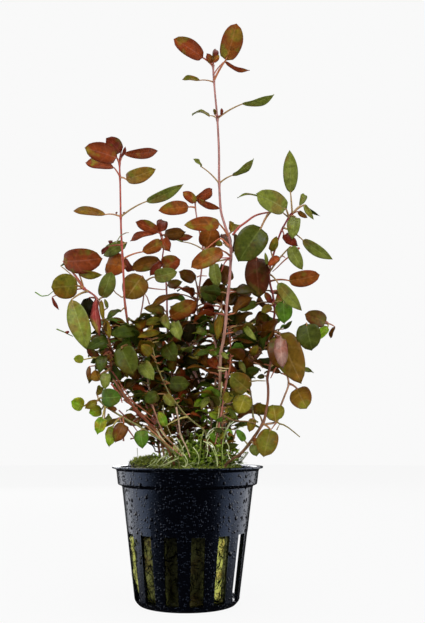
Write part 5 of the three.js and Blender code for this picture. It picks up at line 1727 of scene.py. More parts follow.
@dataclass
class Shoots:
    """All shoots: a smooth tapered stem with its small leaves, and each large leaf by itself."""

    bark: bpy.types.Material
    tissue: bpy.types.Material
    plans: tuple[ShootPlan, ...] = SHOOTS
    seed: int = 18  # sets the leaves' small differences
    stem_sides: int = 8
    pair_turn: float = math.radians(74)  # from one pair of grown leaves to the next
    # Low at the right, where the light reaches into the bush, the thickets' leaves take the lighter
    # young tones: painted light
    lit_right_of: float = 9.0
    lit_below: float = 76.0
    rng: np.random.Generator = field(init=False)

    def __post_init__(self) -> None:
        """Starts the one stream of random numbers that all leaves draw from."""
        self.rng = np.random.default_rng(self.seed)

    def build(self, tree: Tree) -> None:
        """Makes every shoot's pieces.

        Args:
            tree: The shoot tree.
        """
        forms = make_forms("blades", [form.build for form in FINE_FORMS + LIGHT_FORMS])
        inputs = {"Sides": self.stem_sides, "Blades": forms}
        inputs |= {"Bark": self.bark, "Tissue": self.tissue}
        for plan in self.plans:
            curve = ShootCurve(plan.path)
            shoot = Sprig(f"shoot_{plan.name}")
            self.add_stem(shoot, plan, curve)
            for leaf in plan.small:
                self.add_listed(shoot, leaf, curve)
            for stretch in plan.grown:
                self.add_grown(shoot, plan, stretch, curve)
            for thicket in THICKETS:
                if thicket.shoot == plan.name:
                    self.add_thicket(shoot, thicket, curve)
            for twig in TWIGS:
                if twig.shoot == plan.name:
                    self.add_twig(shoot, twig, curve)
            place_piece(shoot.name, shoot.build(tree, inputs), [f"stem_{plan.name}"])
            for number, leaf in enumerate(plan.big, 1):
                label = f"{plan.name}_{number}"
                blade = Sprig(f"blade_{label}")
                self.add_listed(blade, leaf, curve, fine=True)
                place_piece(blade.name, blade.build(tree, inputs), [f"leaf_{label}"])
        drop_forms(forms)

    def add_stem(self, sprig: Sprig, plan: ShootPlan, curve: ShootCurve) -> None:
        """Adds a shoot's stem, thicker at its nodes and slimmer to the tip.

        Args:
            sprig: What the stem is added to.
            plan: The shoot.
            curve: Its middle line.
        """
        shares = np.linspace(0, 1, max(12, round(curve.length / 1.1)))
        line = np.array([curve.at(share) for share in shares])
        radii = plan.thick * (0.98 - 0.36 * shares**1.5)
        for leaf in (*plan.big, *plan.small):
            node = curve.nearest(*leaf.node) / (len(curve.points) - 1)
            radii += 0.16 * plan.thick * np.exp(-(((shares - node) * curve.length / 0.9) ** 2))
        low, high = (np.array(linear(hue)) for hue in plan.bark.value)
        rise = np.clip((line[:, 2] - 55) / 60, 0, 1)[:, None]
        sprig.add_wire(line, np.minimum(radii, 1.4 * plan.thick), low * (1 - rise) + high * rise)

    def add_listed(self, sprig: Sprig, leaf: Leaf, curve: ShootCurve, fine: bool = False) -> None:
        """Adds a leaf of the plan's lists.

        Args:
            sprig: What the leaf is added to.
            leaf: The leaf.
            curve: Its shoot's middle line.
            fine: Whether it gets one of the fine forms.
        """
        foot = curve.points[curve.nearest(*leaf.node)]
        neck, end = SIGHT.seen(*leaf.base), SIGHT.seen(*leaf.tip)
        axis = (end - neck) / np.linalg.norm(end - neck)
        face = np.array(SIGHT.eye) - neck
        face = face - axis * face.dot(axis)
        turn = math.radians(leaf.roll)
        face = face * math.cos(turn) + np.cross(axis, face) * math.sin(turn)
        sprig.add_leaf(foot, neck, end, leaf.wide, face, leaf.tone, self.rng, fine)

    def add_grown(self, sprig: Sprig, plan: ShootPlan, stretch: Stretch, curve: ShootCurve) -> None:
        """Adds the leaves that stand by rule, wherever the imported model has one.

        Args:
            sprig: What the leaves are added to.
            plan: The shoot.
            stretch: Where they stand.
            curve: The shoot's middle line.
        """
        corners = frame["nodes"][f"stem_{plan.name}"].data.vertices
        solid = np.array([corner.co for corner in corners]) / MM
        tones = GROWN_TONES[plan.bark]
        for i in range(stretch.pairs):
            share = stretch.start + (stretch.stop - stretch.start) * i / (stretch.pairs - 1)
            foot, face = curve.chord(share), curve.heading(share)
            reach = stretch.length * (1 - 0.25 * i / stretch.pairs)
            for turn in (self.pair_turn * i, self.pair_turn * i + math.pi):
                aside = around(turn)
                if stretch.back_only and aside[1] < -0.2:
                    continue
                neck = foot + aside * 0.35 * reach + np.array([0, 0, 0.12 * reach])
                end = foot + aside * 1.25 * reach + np.array([0, 0, 0.3 * reach])
                if np.linalg.norm(solid - end, axis=1).min() > 1.0:
                    continue
                tone = tones[int(self.rng.integers(len(tones)))]
                sprig.add_leaf(curve.at(share), neck, end, 0.55 * reach, face, tone, self.rng)

    def add_thicket(self, sprig: Sprig, thicket: Thicket, curve: ShootCurve) -> None:
        """Adds the small leaves that crowd along a shoot.

        Args:
            sprig: What the leaves are added to.
            thicket: Where they stand, and how large they are.
            curve: The shoot's middle line.
        """
        rng = self.rng
        tones = YOUNG_TONES if thicket.light else SHADE_TONES
        heights = np.linspace(thicket.low, thicket.high, thicket.pairs)
        for i, height in enumerate(heights + rng.uniform(-1.5, 1.5, len(heights))):
            foot = curve.points[int(np.argmin(np.abs(curve.points[:, 2] - height)))]
            # Painted light: leaves low at the right get the lighter young tones
            is_lit = foot[0] > self.lit_right_of and foot[2] < self.lit_below
            for half in (0.0, math.pi):
                aside = around(1.45 * i + half + rng.uniform(-0.4, 0.4))
                if thicket.back_only and aside[1] < 0.05:
                    aside[1] = -aside[1] + 0.1
                climb = rng.uniform(-0.35, 1.0)
                out = aside * math.cos(climb) + np.array([0, 0, math.sin(climb)])
                # Leaves are smaller lower down
                grown = 0.5 + 0.5 * min(1.0, max(0.0, (height - 60) / 28))
                length = thicket.length * grown * rng.uniform(0.75, 1.15)
                neck = foot + aside * length * 0.32 + np.array([0, 0, 0.1 * length])
                face = np.array([*rng.normal(0, 0.6, 2), 1.0])
                leaf_tones = YOUNG_TONES if is_lit else tones
                tone = leaf_tones[int(rng.integers(len(leaf_tones)))]
                wide = length * rng.uniform(0.52, 0.68)
                sprig.add_leaf(foot, neck, neck + out * length, wide, face, tone, rng)

    def add_twig(self, sprig: Sprig, twig: Twig, curve: ShootCurve) -> None:
        """Adds a fine stalk that leaves the shoot.

        Args:
            sprig: What it is added to.
            twig: The stalk.
            curve: The shoot's middle line.
        """
        depth = curve.points[curve.nearest(*twig.path[0])][1] - twig.nearer
        line = np.array([SIGHT.seen(*place, depth) for place in twig.path])
        steps = np.linspace(0, len(line) - 1, 3 * len(line))
        line = np.column_stack([np.interp(steps, range(len(line)), line[:, k]) for k in range(3)])
        radii = np.linspace(1.1, 0.6, len(line)) * twig.thick
        sprig.add_wire(line, radii, np.array(linear(twig.tint)))


# The pot and what fills it


@dataclass(frozen=True)
class Slots:
    """The upright slots round the pot."""

    count: int = 14
    width: float = 4.75
    low: float = 2.2
    high: float = 25.2
    first: float = math.radians(11.6 - 90)  # the turn of the one at the front
    depth: float = 8.0  # of the block that cuts one


@dataclass
class NetPot:
    """The moulded net pot: a flaring lip over a stepped collar, and a tapered slotted basket."""

    height: float = 48.3
    lip_radius: float = 27.5
    collar_top: float = 26.0
    collar_foot: float = 25.3
    collar_low: float = 41.9
    body_top: float = 23.8
    floor_radius: float = 18.7
    foot_radius: float = 17.2
    wall: float = 1.2
    sides: int = 196
    sharp: float = math.radians(32)  # the least angle of an edge that isn't shaded smooth
    slots: Slots = Slots()

    def profile(self) -> list[tuple[float, float, float]]:
        """Lists the section's corners.

        Returns:
            For each corner its radius, its height and how far it is rounded.
        """
        lip = self.height - 1.0
        return [
            (0, 0.5, 0),
            (self.foot_radius - 2.2, 0.5, 0.1),
            (self.foot_radius - 1.6, 0, 0.2),
            (self.foot_radius, 0, 0.5),
            (self.floor_radius, 1.6, 0.8),
            (self.body_top, self.collar_low - 0.6, 0.35),
            (self.collar_foot, self.collar_low, 0.4),
            (self.collar_top, lip, 0.7),
            (self.lip_radius, lip + 0.3, 0.25),
            (self.lip_radius, self.height, 0.3),
            (self.collar_top - self.wall, self.height - 0.2, 0.6),
            (self.collar_foot - self.wall, self.collar_low + 1, 0.5),
            (self.body_top - self.wall, self.collar_low - 1, 0.5),
            (self.floor_radius - self.wall, 1.4, 0.6),
            (0, 1.4, 0),
        ]

    def section(self) -> list[tuple[float, float]]:
        """Rounds the corners of the section.

        Returns:
            The section as a line of radii and heights.
        """
        corners = self.profile()
        line = [corners[0][:2]]
        for before, (radius, height, rounding), after in zip(corners, corners[1:], corners[2:]):
            here = np.array([radius, height])
            legs = [np.array(corner[:2]) - here for corner in (before, after)]
            short = min(rounding, *(0.45 * float(np.linalg.norm(leg)) for leg in legs))
            start, stop = (here + leg / np.linalg.norm(leg) * short for leg in legs)
            for t in (0, 0.33, 0.67, 1):
                spot = (1 - t) ** 2 * start + 2 * t * (1 - t) * here + t * t * stop
                line.append((float(spot[0]), float(spot[1])))
        return [*line, corners[-1][:2]]

    def turned(self) -> Mesh:
        """Turns the pot from its section.

        Returns:
            The pot without its slots.
        """
        (_, foot), *rings, (_, floor) = self.section()
        turns = [math.tau * k / self.sides for k in range(self.sides)]
        points = [around(turn, radius, height) for radius, height in rings for turn in turns]
        points = [(0, 0, foot), *points, (0, 0, floor)]
        return new_mesh("net_pot_turned", points, faces=ring_faces(len(rings), self.sides))

    def slot_tree(self) -> Tree:
        """Makes the tree that cuts the ring of slots.

        Returns:
            The tree, with the slots' sizes and the pot's plastic as its inputs.
        """
        names = ("Width", "Low", "High", "Radius", "Turn", "Depth")
        kinds = {"Slots": "Int", **dict.fromkeys(names, "Float"), "Plastic": "Material"}
        tree, given = new_tree("slots", kinds)
        step = add(tree, "ShaderNodeMath", {0: math.tau, 1: given["Slots"]}, operation="DIVIDE")
        turn = {0: add(tree, "GeometryNodeInputIndex"), 1: step, 2: given["Turn"]}
        turn = add(tree, "ShaderNodeMath", turn, operation="MULTIPLY_ADD")
        x, y = (
            add(
                tree,
                "ShaderNodeMath",
                {0: add(tree, "ShaderNodeMath", {0: turn}, operation=way), 1: given["Radius"]},
                operation="MULTIPLY",
            )
            for way in ("COSINE", "SINE")
        )
        both = add(tree, "ShaderNodeMath", {0: given["Low"], 1: given["High"]}, operation="ADD")
        middle = add(tree, "ShaderNodeMath", {0: both, 1: 0.5}, operation="MULTIPLY")
        place = add(tree, "ShaderNodeCombineXYZ", {0: x, 1: y, 2: middle})
        points = add(tree, "GeometryNodePoints", {"Count": given["Slots"], "Position": place})
        ends = {0: given["High"], 1: given["Low"]}
        tall = add(tree, "ShaderNodeMath", ends, operation="SUBTRACT")
        size = add(tree, "ShaderNodeCombineXYZ", {0: given["Depth"], 1: given["Width"], 2: tall})
        facing = add(tree, "ShaderNodeCombineXYZ", {2: turn})
        links = {
            "Points": points,
            "Instance": add(tree, "GeometryNodeMeshCube", {"Size": size}),
            "Rotation": add(tree, "FunctionNodeEulerToRotation", {"Euler": facing}),
        }
        cutters = add(tree, "GeometryNodeInstanceOnPoints", links)
        cutters = add(tree, "GeometryNodeRealizeInstances", {"Geometry": cutters})
        links = {"Mesh 1": given["Geometry"], "Mesh 2": cutters}
        slotted = add(
            tree, "GeometryNodeMeshBoolean", links, operation="DIFFERENCE", solver="EXACT"
        )
        links = {"Geometry": slotted, "Material": given["Plastic"]}
        add(tree, "NodeGroupOutput", {0: add(tree, "GeometryNodeSetMaterial", links)})
        return tree

    def build(self, plastic: bpy.types.Material) -> None:
        """Makes the pot.

        Args:
            plastic: Its material.
        """
        sizes = {
            "Slots": self.slots.count,
            "Width": self.slots.width * MM,
            "Low": self.slots.low * MM,
            "High": self.slots.high * MM,
            "Radius": (self.floor_radius + self.body_top) / 2 * MM,
            "Turn": self.slots.first,
            "Depth": self.slots.depth * MM,
            "Plastic": plastic,
        }
        mesh = grow(self.turned(), self.slot_tree(), sizes)
        mesh.polygons.foreach_set("use_smooth", [True] * len(mesh.polygons))
        mesh.set_sharp_from_angle(angle=self.sharp)
        place_piece("slotted_pot", mesh, ["net_pot"])


def faces_only(mesh: Mesh, name: str, wanted: Callable[[Vector, Vector], bool]) -> Mesh:
    """Copies the faces of a mesh that meet a test.

    Args:
        mesh: The whole mesh.
        name: The copy's name.
        wanted: The test, from a face's centre in millimetres and its normal.

    Returns:
        The copy.
    """
    points = np.array([corner.co for corner in mesh.vertices]) / MM
    faces = [list(p.vertices) for p in mesh.polygons if wanted(p.center / MM, p.normal)]
    used = sorted({corner for face in faces for corner in face})
    place = {corner: number for number, corner in enumerate(used)}
    return new_mesh(name, points[used], faces=[[place[c] for c in face] for face in faces])


def tube(line: np.ndarray, radii: Sequence[float], sides: int, name: str) -> Mesh:
    """Makes a closed slim tube, whose ends come to a point where their radius is near nought.

    Args:
        line: Its middle line.
        radii: Its radius at each point of the line.
        sides: How many sides it has.
        name: The mesh's name.

    Returns:
        The mesh.
    """
    points = []
    for i, (point, radius) in enumerate(zip(line, radii)):
        heading = line[min(i + 1, len(line) - 1)] - line[max(i - 1, 0)]
        heading = heading / np.linalg.norm(heading)
        side = np.cross(heading, (0.31, 0.95, 0.1))
        side = side / np.linalg.norm(side)
        other = np.cross(heading, side)
        for k in range(sides):
            turn = math.tau * k / sides
            points.append(point + radius * (side * math.cos(turn) + other * math.sin(turn)))
    faces = [tuple(range(sides - 1, -1, -1))]
    last = (len(line) - 1) * sides
    for start in range(0, last, sides):
        for k in range(sides):
            a, b = start + k, start + (k + 1) % sides
            faces.append((a, b, b + sides, a + sides))
    faces.append(tuple(last + k for k in range(sides)))
    return new_mesh(name, points, faces=faces, smooth=True)


@dataclass(frozen=True)
class Cover:
    """Growth that is scattered over the wool."""

    name: str
    slot: str
    former: Callable[[str, int], Mesh]  # makes a form a unit long, from its name and its number
    forms: int
    count: float  # for a square metre
    small: float
    large: float
    lean: float  # radians that one leans at most
    seed: int

    def lay(self, ground: Mesh, tree: Tree, finish: bpy.types.Material) -> None:
        """Scatters the forms and shows them as one piece.

        Args:
            ground: What they stand on.
            tree: The scatter tree.
            finish: Their material.
        """
        numbered = [lambda label, number=n: self.former(label, number) for n in range(self.forms)]
        forms = make_forms(self.name, numbered)
        inputs = {
            "Forms": forms,
            "Count": self.count,
            "Seed": self.seed,
            "Small": self.small,
            "Large": self.large,
            "Lean": self.lean,
            "Finish": finish,
        }
        mesh = grow(ground, tree, inputs)
        drop_forms(forms)
        place_piece(self.name, mesh)


@dataclass
class WoolPlug:
    """The wool plug: a squeezed block with a mossy mound, covered in loose fibres."""

    top_radius: float = 21.0
    floor_radius: float = 15.4
    shift: float = -1.4
    low: float = 1.7
    high: float = 47.6
    mound_rise: float = 5.0
    sides: int = 224
    levels: int = 70
    rings: int = 20
    slots: Slots = Slots()
    at_slots: float = 20.0  # radius at which the slots' width is measured
    pressed_half: float = 2.7  # half the width that is pressed out through a slot
    pressed_from: float = 2.4  # height from which it is
    fade: float = 1.5  # mm over which it fades at both ends of the slot
    painted_shading_half: float = 4.2  # half the width that is seen through one
    # How far the wool is pressed out through each slot, from the middle one to the right
    pressed: tuple[float, ...] = (
        *(-1.3, 2.9, 0, 0, 0.4, 0.8, 0.2),
        *(1.0, 0.6, 0.3, 0.9, 2.0, 1.8, -1.7),
    )
    # Painted light and shade seen through each slot, from the middle one to the right: painted
    # shade in the middle, painted light at the sides
    painted_shading: tuple[float, ...] = (
        *(0.22, 2.7, 1, 1, 0.7, 1.2, 0.6),
        *(1, 0.8, 1.3, 1, 2.2, 0.66, 0.11),
    )
    bare_below: float = 2.6  # height from which loose fibres stand on it

    def slot_at(self, turn: float) -> tuple[int, float]:
        """Finds the slot nearest to a turn.

        Args:
            turn: The way round the plug, in radians.

        Returns:
            The slot's number, and the distance to its middle in millimetres.
        """
        pitch = math.tau / self.slots.count
        share = (-turn - self.slots.first) / pitch
        number = round(share)
        return number % self.slots.count, abs(share - number) * pitch * self.at_slots

    def swell(self, turn: float, height: float) -> float:
        """Works out how far the wool stands out where it lies in a slot.

        Args:
            turn: The way round the plug, in radians.
            height: The height in millimetres.

        Returns:
            The millimetres that it stands out, or lies back where they are negative.
        """
        number, off = self.slot_at(turn)
        window = max(0.0, 1 - (off / self.pressed_half) ** 10)
        for inside in (height - self.pressed_from, self.slots.high - height):
            window *= min(1.0, max(0.0, inside / self.fade))
        return self.pressed[number] * window

    def point(self, turn: float, level: float, reach: float) -> Place:
        """Works out a point of the plug's skin.

        Args:
            turn: The way round the plug, in radians.
            level: The share of its height.
            reach: The share of the way from its middle line to its side.

        Returns:
            The point in millimetres.
        """
        left = max(0.0, -math.cos(turn))
        height = self.low + (self.high - self.low) * level
        radius = self.floor_radius + (self.top_radius - self.floor_radius) * level
        # Lumps, a fine roughness, and the left foot and shoulder, which are worn away
        radius += 0.35 * math.sin(5 * turn + 4 * level) + 0.3 * math.sin(9 * turn - 7 * level)
        radius += 0.22 * math.sin(23 * turn + 17 * level) * math.sin(31 * level + 11 * turn)
        radius -= 2.6 * left * max(0.0, 1 - 5 * level)
        radius -= 2.0 * left * min(1.0, max(0.0, (level - 0.8) / 0.12))
        if reach == 1:
            facing = math.atan2(radius * math.sin(turn), self.shift + radius * math.cos(turn))
            radius += self.swell(facing, height)
        mound = self.mound_rise * left**2 * max(0.0, level - 0.9) * 10
        mound *= 1.25 * reach * (1 - 0.78 * reach**4)
        hills = 0.7 * math.sin(7 * reach + 3 * turn) * math.sin(13 * reach - 2 * turn)
        hills *= max(0.0, level - 0.98) * 50 * math.sin(math.pi * reach)
        x, y = self.shift + reach * radius * math.cos(turn), -reach * radius * math.sin(turn)
        return (x, y, height + mound + hills)

    def skin(self) -> Mesh:
        """Makes the plug's skin, with the painted light and shade at each point.

        Returns:
            The plug as a fine closed mesh.
        """
        places = [(0.0, r / self.rings) for r in range(1, self.rings)]
        places += [(i / self.levels, 1.0) for i in range(self.levels + 1)]
        places += [(1.0, 1 - r / self.rings) for r in range(1, self.rings)]
        turns = [math.tau * k / self.sides for k in range(self.sides)]
        points = [self.point(turn, level, reach) for level, reach in places for turn in turns]
        points = [self.point(0, 0, 0), *points, self.point(0, 1, 0)]
        painted_shading = []
        # Painted shade and light, where the wool is seen through a slot
        for x, y, z in points:
            number, off = self.slot_at(math.atan2(-y, x))
            is_seen = z < self.slots.high + 4
            depth = max(0.0, 1 - (off / self.painted_shading_half) ** 8) if is_seen else 0.0
            painted_shading.append(1 + (self.painted_shading[number] - 1) * depth)
        faces = ring_faces(len(places), self.sides, inwards=True)
        layer = ("FLOAT", np.array(painted_shading))
        return new_mesh("wool_block", points, faces=faces, smooth=True, shade=layer)

    @staticmethod
    def fibre(name: str, seed: int) -> Mesh:
        """Makes one loose fibre, about a unit long, which curls over the wool.

        Args:
            name: The mesh's name.
            seed: Sets its curl.

        Returns:
            The fibre.
        """
        rng = np.random.default_rng(seed)
        steps = np.linspace(0, 1, 5)
        bend, lift = rng.uniform(-0.5, 0.5), rng.uniform(0.05, 0.22)
        above = lift * np.sin(math.pi * steps) - 0.02
        line = np.column_stack([bend * steps**2, steps - 0.5, above])
        return tube(line, (0.01, 0.03, 0.034, 0.03, 0.01), 3, name)

    def build(self, tree: Tree, wool: bpy.types.Material) -> Mesh:
        """Makes the plug.

        Args:
            tree: The scatter tree.
            wool: The wool's material.

        Returns:
            The plug's mesh without its loose fibres.
        """
        block = self.skin()
        block.materials.append(wool)
        place_piece("wool_block", block, ["wool_plug"])
        ground = faces_only(block, "fibre_seed", lambda centre, _: centre.z > self.bare_below)
        fibres = Cover("wool_fibres", "mineral_wool", self.fibre, 5, 950_000.0, 1.6, 4.2, 0.2, 3)
        fibres.lay(ground, tree, wool)
        return block


@dataclass(frozen=True)
class RootLine:
    """A pale young root that hangs over the wool, traced in the front view."""

    thick: float
    depth: float  # where it stands, in front of the pot's middle plane when negative
    path: tuple[tuple[float, float], ...]


ROOTS = (
    RootLine(0.19, -14.0, ((-14.8, 49.5), (-13.8, 51), (-12, 52.8))),
    RootLine(0.23, -17.4, ((-10.8, 49.5), (-8, 50.7), (-5.5, 52), (-3.5, 53.3))),
    RootLine(0.2, -14.0, ((-9, 52), (-8.3, 54), (-8, 56))),
    RootLine(0.23, -16.4, ((-0.8, 49.6), (-0.8, 51.5), (-2, 53.5), (-2.8, 56))),
    RootLine(0.19, -14.0, ((-1.2, 58.3), (-2.3, 60), (-3.2, 62))),
    RootLine(
        0.32, -17.4,
        ((10.8, 49.8), (10.8, 51.5), (10.3, 54.5), (9.5, 57), (8, 58.5), (6.3, 58.5)),
    ),
    RootLine(0.2, -16.4, ((7, 60.5), (9, 62.5), (10.5, 63.8), (12, 64), (14, 63.8))),
    RootLine(0.19, -13.0, ((18, 62.8), (19, 64.2), (20.5, 64))),
    RootLine(0.19, -18.4, ((-7.3, 53.8), (-10.2, 52.4), (-12.7, 50.9), (-14.9, 49.6))),
    RootLine(0.19, -17.4, ((-11.3, 52.4), (-12.7, 50.9), (-13.8, 49.6))),
    RootLine(0.19, -19.4, ((-9.4, 53.1), (-10.9, 51.6), (-12, 49.8))),
    RootLine(0.19, -18.4, ((-5.8, 53.5), (-8, 52), (-10.2, 49.8))),
    RootLine(0.19, -19.4, ((-3.6, 52.7), (-6.2, 51.3), (-8.7, 49.6))),
    RootLine(0.23, -18.4, ((-2.1, 54.9), (-0.7, 53.1), (-0.1, 51.3), (-1, 49.6), (-2.5, 50.2))),
    RootLine(0.19, -17.4, ((-4.3, 60.4), (-2.9, 58.2), (-1.8, 56), (-1.4, 53.8))),
    RootLine(0.2, -18.4, ((5.6, 59), (7.8, 57.9), (9.2, 55.7), (10.3, 53.1), (10.7, 50.2))),
    RootLine(0.19, -19.4, ((1.9, 56.8), (3.4, 54.9), (4.1, 52.7), (3.7, 50.2))),
    RootLine(0.19, -18.4, ((0.1, 59.3), (-1.4, 57.1), (-2.9, 54.9), (-3.6, 52.4))),
    RootLine(0.17, -19.4, ((14, 59), (15.1, 56.8), (14.7, 54.2), (15.8, 52))),
    RootLine(0.17, -18.4, ((8.1, 60.8), (7, 58.6), (7.4, 55.7), (6.7, 52.7))),
)


@dataclass
class BaseGrowth:
    """What grows over the wool: moss, young sprigs with tiny leaves, and pale roots."""

    hairs: int = 170
    seed: int = 23
    pale: int = 0xD8DCB8
    top: float = 47.0  # height above which the wool's faces are its top
    top_reach: float = 21.8  # radius within which they are
    upward: float = 0.1  # least upward part of their normal
    # The ellipse in which the shoots stand, and the sprigs with them
    foot_middle: tuple[float, float] = (5, -4.5)
    foot_half: tuple[float, float] = (15, 11.5)
    hair_spread: float = 19.0  # radius in which the hairs start
    hair_foot: float = 47.3  # height at which they start
    hair_least: float = 47.1  # height that none falls below
    hair_reach: float = 22.0  # radius that none reaches over

    @staticmethod
    def tuft(name: str, seed: int) -> Mesh:
        """Makes a tuft of moss: a few pointed leaflets that spread from one foot.

        Args:
            name: The mesh's name.
            seed: Sets how they spread.

        Returns:
            The tuft, about a unit high.
        """
        rng = np.random.default_rng(seed)
        points, faces = [], []
        for k in range(5):
            turn = math.tau * k / 5 + rng.uniform(-0.4, 0.4)
            lean, reach = rng.uniform(0.35, 1.1), rng.uniform(0.6, 1.0)
            out = around(turn, math.sin(lean), math.cos(lean))
            side = around(turn + math.pi / 2)
            over = np.cross(out, side)
            middle = out * reach * 0.55 - over * 0.05
            start = len(points)
            points += [-0.05 * out, middle + 0.16 * side, middle + 0.035 * over]
            points += [middle - 0.16 * side, middle - 0.035 * over, out * reach + over * 0.1]
            ring = [start + i for i in (1, 2, 3, 4)]
            for a, b in zip(ring, ring[1:] + ring[:1]):
                faces += [(a, b, start + 5), (b, a, start)]
        return new_mesh(name, points, faces=faces, smooth=True)

    @staticmethod
    def leaflet(foot: np.ndarray, out: np.ndarray, side: np.ndarray) -> np.ndarray:
        """Makes the corners of a tiny round leaf with a little thickness.

        Args:
            foot: Where it starts.
            out: The way that it points, as long as the leaf.
            side: The way across it, as long as the leaf.

        Returns:
            Six corners of its upper face, and the same of its lower face.
        """
        outline = ((0, 0), (0.4, 0.27), (0.75, 0.3), (1.15, 0), (0.75, -0.3), (0.4, -0.27))
        ring = np.array([foot + along * out + across * side for along, across in outline])
        over = np.cross(out, side) / np.dot(out, out)
        return np.vstack([ring + 0.012 * over, ring - 0.012 * over])

    def sprig(self, name: str, seed: int) -> Mesh:
        """Makes a young sprig: a short stem with pairs of tiny round leaves.

        Args:
            name: The mesh's name.
            seed: Sets its bend and how many pairs it has.

        Returns:
            The sprig, a unit high.
        """
        rng = np.random.default_rng(seed)
        points, faces = [], []
        bend = rng.uniform(-0.25, 0.25, 2)
        for start, stop in ((0.0, 0.5), (0.5, 1.0)):
            low = len(points)
            for rise, radius in ((start, 0.022), (stop, 0.015)):
                spot = np.array([*bend * rise**2, rise])
                points += [spot + around(math.tau * k / 3, radius) for k in range(3)]
            for a, b in ((low, low + 1), (low + 1, low + 2), (low + 2, low)):
                faces.append((a, b, b + 3, a + 3))
        levels = 3 + seed % 3
        for level, rise in enumerate(np.linspace(0.3, 0.97, levels)):
            for half in (0, math.pi):
                turn = 1.4 * level + half + rng.uniform(-0.3, 0.3)
                tilt = rng.uniform(0.1, 0.7)
                size = rng.uniform(0.3, 0.42) * (1 - 0.5 * level / levels) * 3 / levels
                out = around(turn, height=math.tan(tilt))
                out = out / np.linalg.norm(out) * size
                low = len(points)
                spot = np.array([*bend * rise**2, rise])
                points += [*self.leaflet(spot, out, around(turn + math.pi / 2, size))]
                faces += [tuple(range(low + 5, low - 1, -1)), tuple(range(low + 6, low + 12))]
                for a in range(low, low + 6):
                    b = a + 1 if a < low + 5 else low
                    faces.append((a, b, 6 + b, 6 + a))
        return new_mesh(name, points, faces=faces)

    def is_top(self, centre: Vector, normal: Vector) -> bool:
        """Tests whether a face of the wool lies on its top.

        Args:
            centre: The face's centre.
            normal: Its normal.

        Returns:
            Whether it does.
        """
        is_inside = math.hypot(centre.x, centre.y) < self.top_reach
        return centre.z > self.top and normal.z > self.upward and is_inside

    def is_foot(self, centre: Vector, normal: Vector) -> bool:
        """Tests whether a face of the wool's top lies at the foot of the shoots.

        Args:
            centre: The face's centre.
            normal: Its normal.

        Returns:
            Whether it does.
        """
        ways = zip(centre, self.foot_middle, self.foot_half)
        away = math.hypot(*((place - middle) / half for place, middle, half in ways))
        return centre.z > self.top and normal.z > self.upward and away < 1

    def add_roots(self, roots: Sprig) -> None:
        """Adds the traced roots.

        Args:
            roots: What they are added to.
        """
        for plan in ROOTS:
            curve = ShootCurve([(*place, plan.depth) for place in plan.path])
            line = np.array([curve.at(share) for share in np.linspace(0, 1, 4 * len(plan.path))])
            radii = plan.thick * np.linspace(1.0, 0.6, len(line))
            roots.add_wire(line, radii, np.array(linear(self.pale)))

    def add_hairs(self, roots: Sprig) -> None:
        """Adds fine root hairs that curl over the wool.

        Args:
            roots: What they are added to.
        """
        rng = np.random.default_rng(self.seed)
        share = np.linspace(0, 1, 9)[:, None]
        for _ in range(self.hairs):
            turn = rng.uniform(0, math.tau)
            reach = self.hair_spread * math.sqrt(rng.uniform(0.02, 1))
            foot = around(turn, reach, self.hair_foot) - np.array([1, 0, 0])
            out = np.array([*rng.normal(0, 0.5, 2), rng.uniform(0.1, 1.0)])
            curl = np.array([*rng.normal(0, 0.8, 2), -0.6])
            line = foot + rng.uniform(4, 11) * (out * share + curl * share**2 * 0.6)
            if np.linalg.norm(line[:, :2], axis=1).max() > self.hair_reach:
                continue
            line[:, 2] = np.maximum(line[:, 2], self.hair_least)
            radii = rng.uniform(0.07, 0.15) * np.linspace(1, 0.5, 9)
            roots.add_wire(line, radii, np.array(linear(self.pale)) * rng.uniform(0.75, 1.0))

    def build(self, block: Mesh, scatter: Tree, shoots: Tree) -> None:
        """Makes the moss, the sprigs and the roots.

        Args:
            block: The wool's mesh.
            scatter: The scatter tree.
            shoots: The shoot tree.
        """
        slot, seed = "leaf_tissue", self.seed
        moss = Cover("moss_cover", slot, self.tuft, 6, 1_700_000.0, 0.6, 1.9, 0.8, seed)
        young = Cover("young_sprigs_cover", slot, self.sprig, 6, 230_000.0, 4.5, 12.5, 0.7, seed)
        green = SoftGrowth("moss", 0xA2AE4A, 0x606C28).build()
        moss.lay(faces_only(block, "moss_seed", self.is_top), scatter, green)
        green = SoftGrowth("young_leaf", 0xB6D04C, 0x3C5A12, clump=2.0).build()
        young.lay(faces_only(block, "young_sprigs_seed", self.is_foot), scatter, green)
        roots = Sprig("young_roots")
        self.add_roots(roots)
        self.add_hairs(roots)
        white = SoftGrowth("young_root", 0xDEE2B0, 0xA8B46C).build()
        place_piece(roots.name, roots.build(shoots, {"Sides": 6, "Bark": white}))


# The studio


@dataclass(frozen=True)
class Softbox:
    """A soft light: its place and what it faces in millimetres, its width, height and power."""

    place: Place
    wide: float
    tall: float
    watts: float
    glossy: bool = True
    aim: Place = (0.0, 0.0, 90.0)


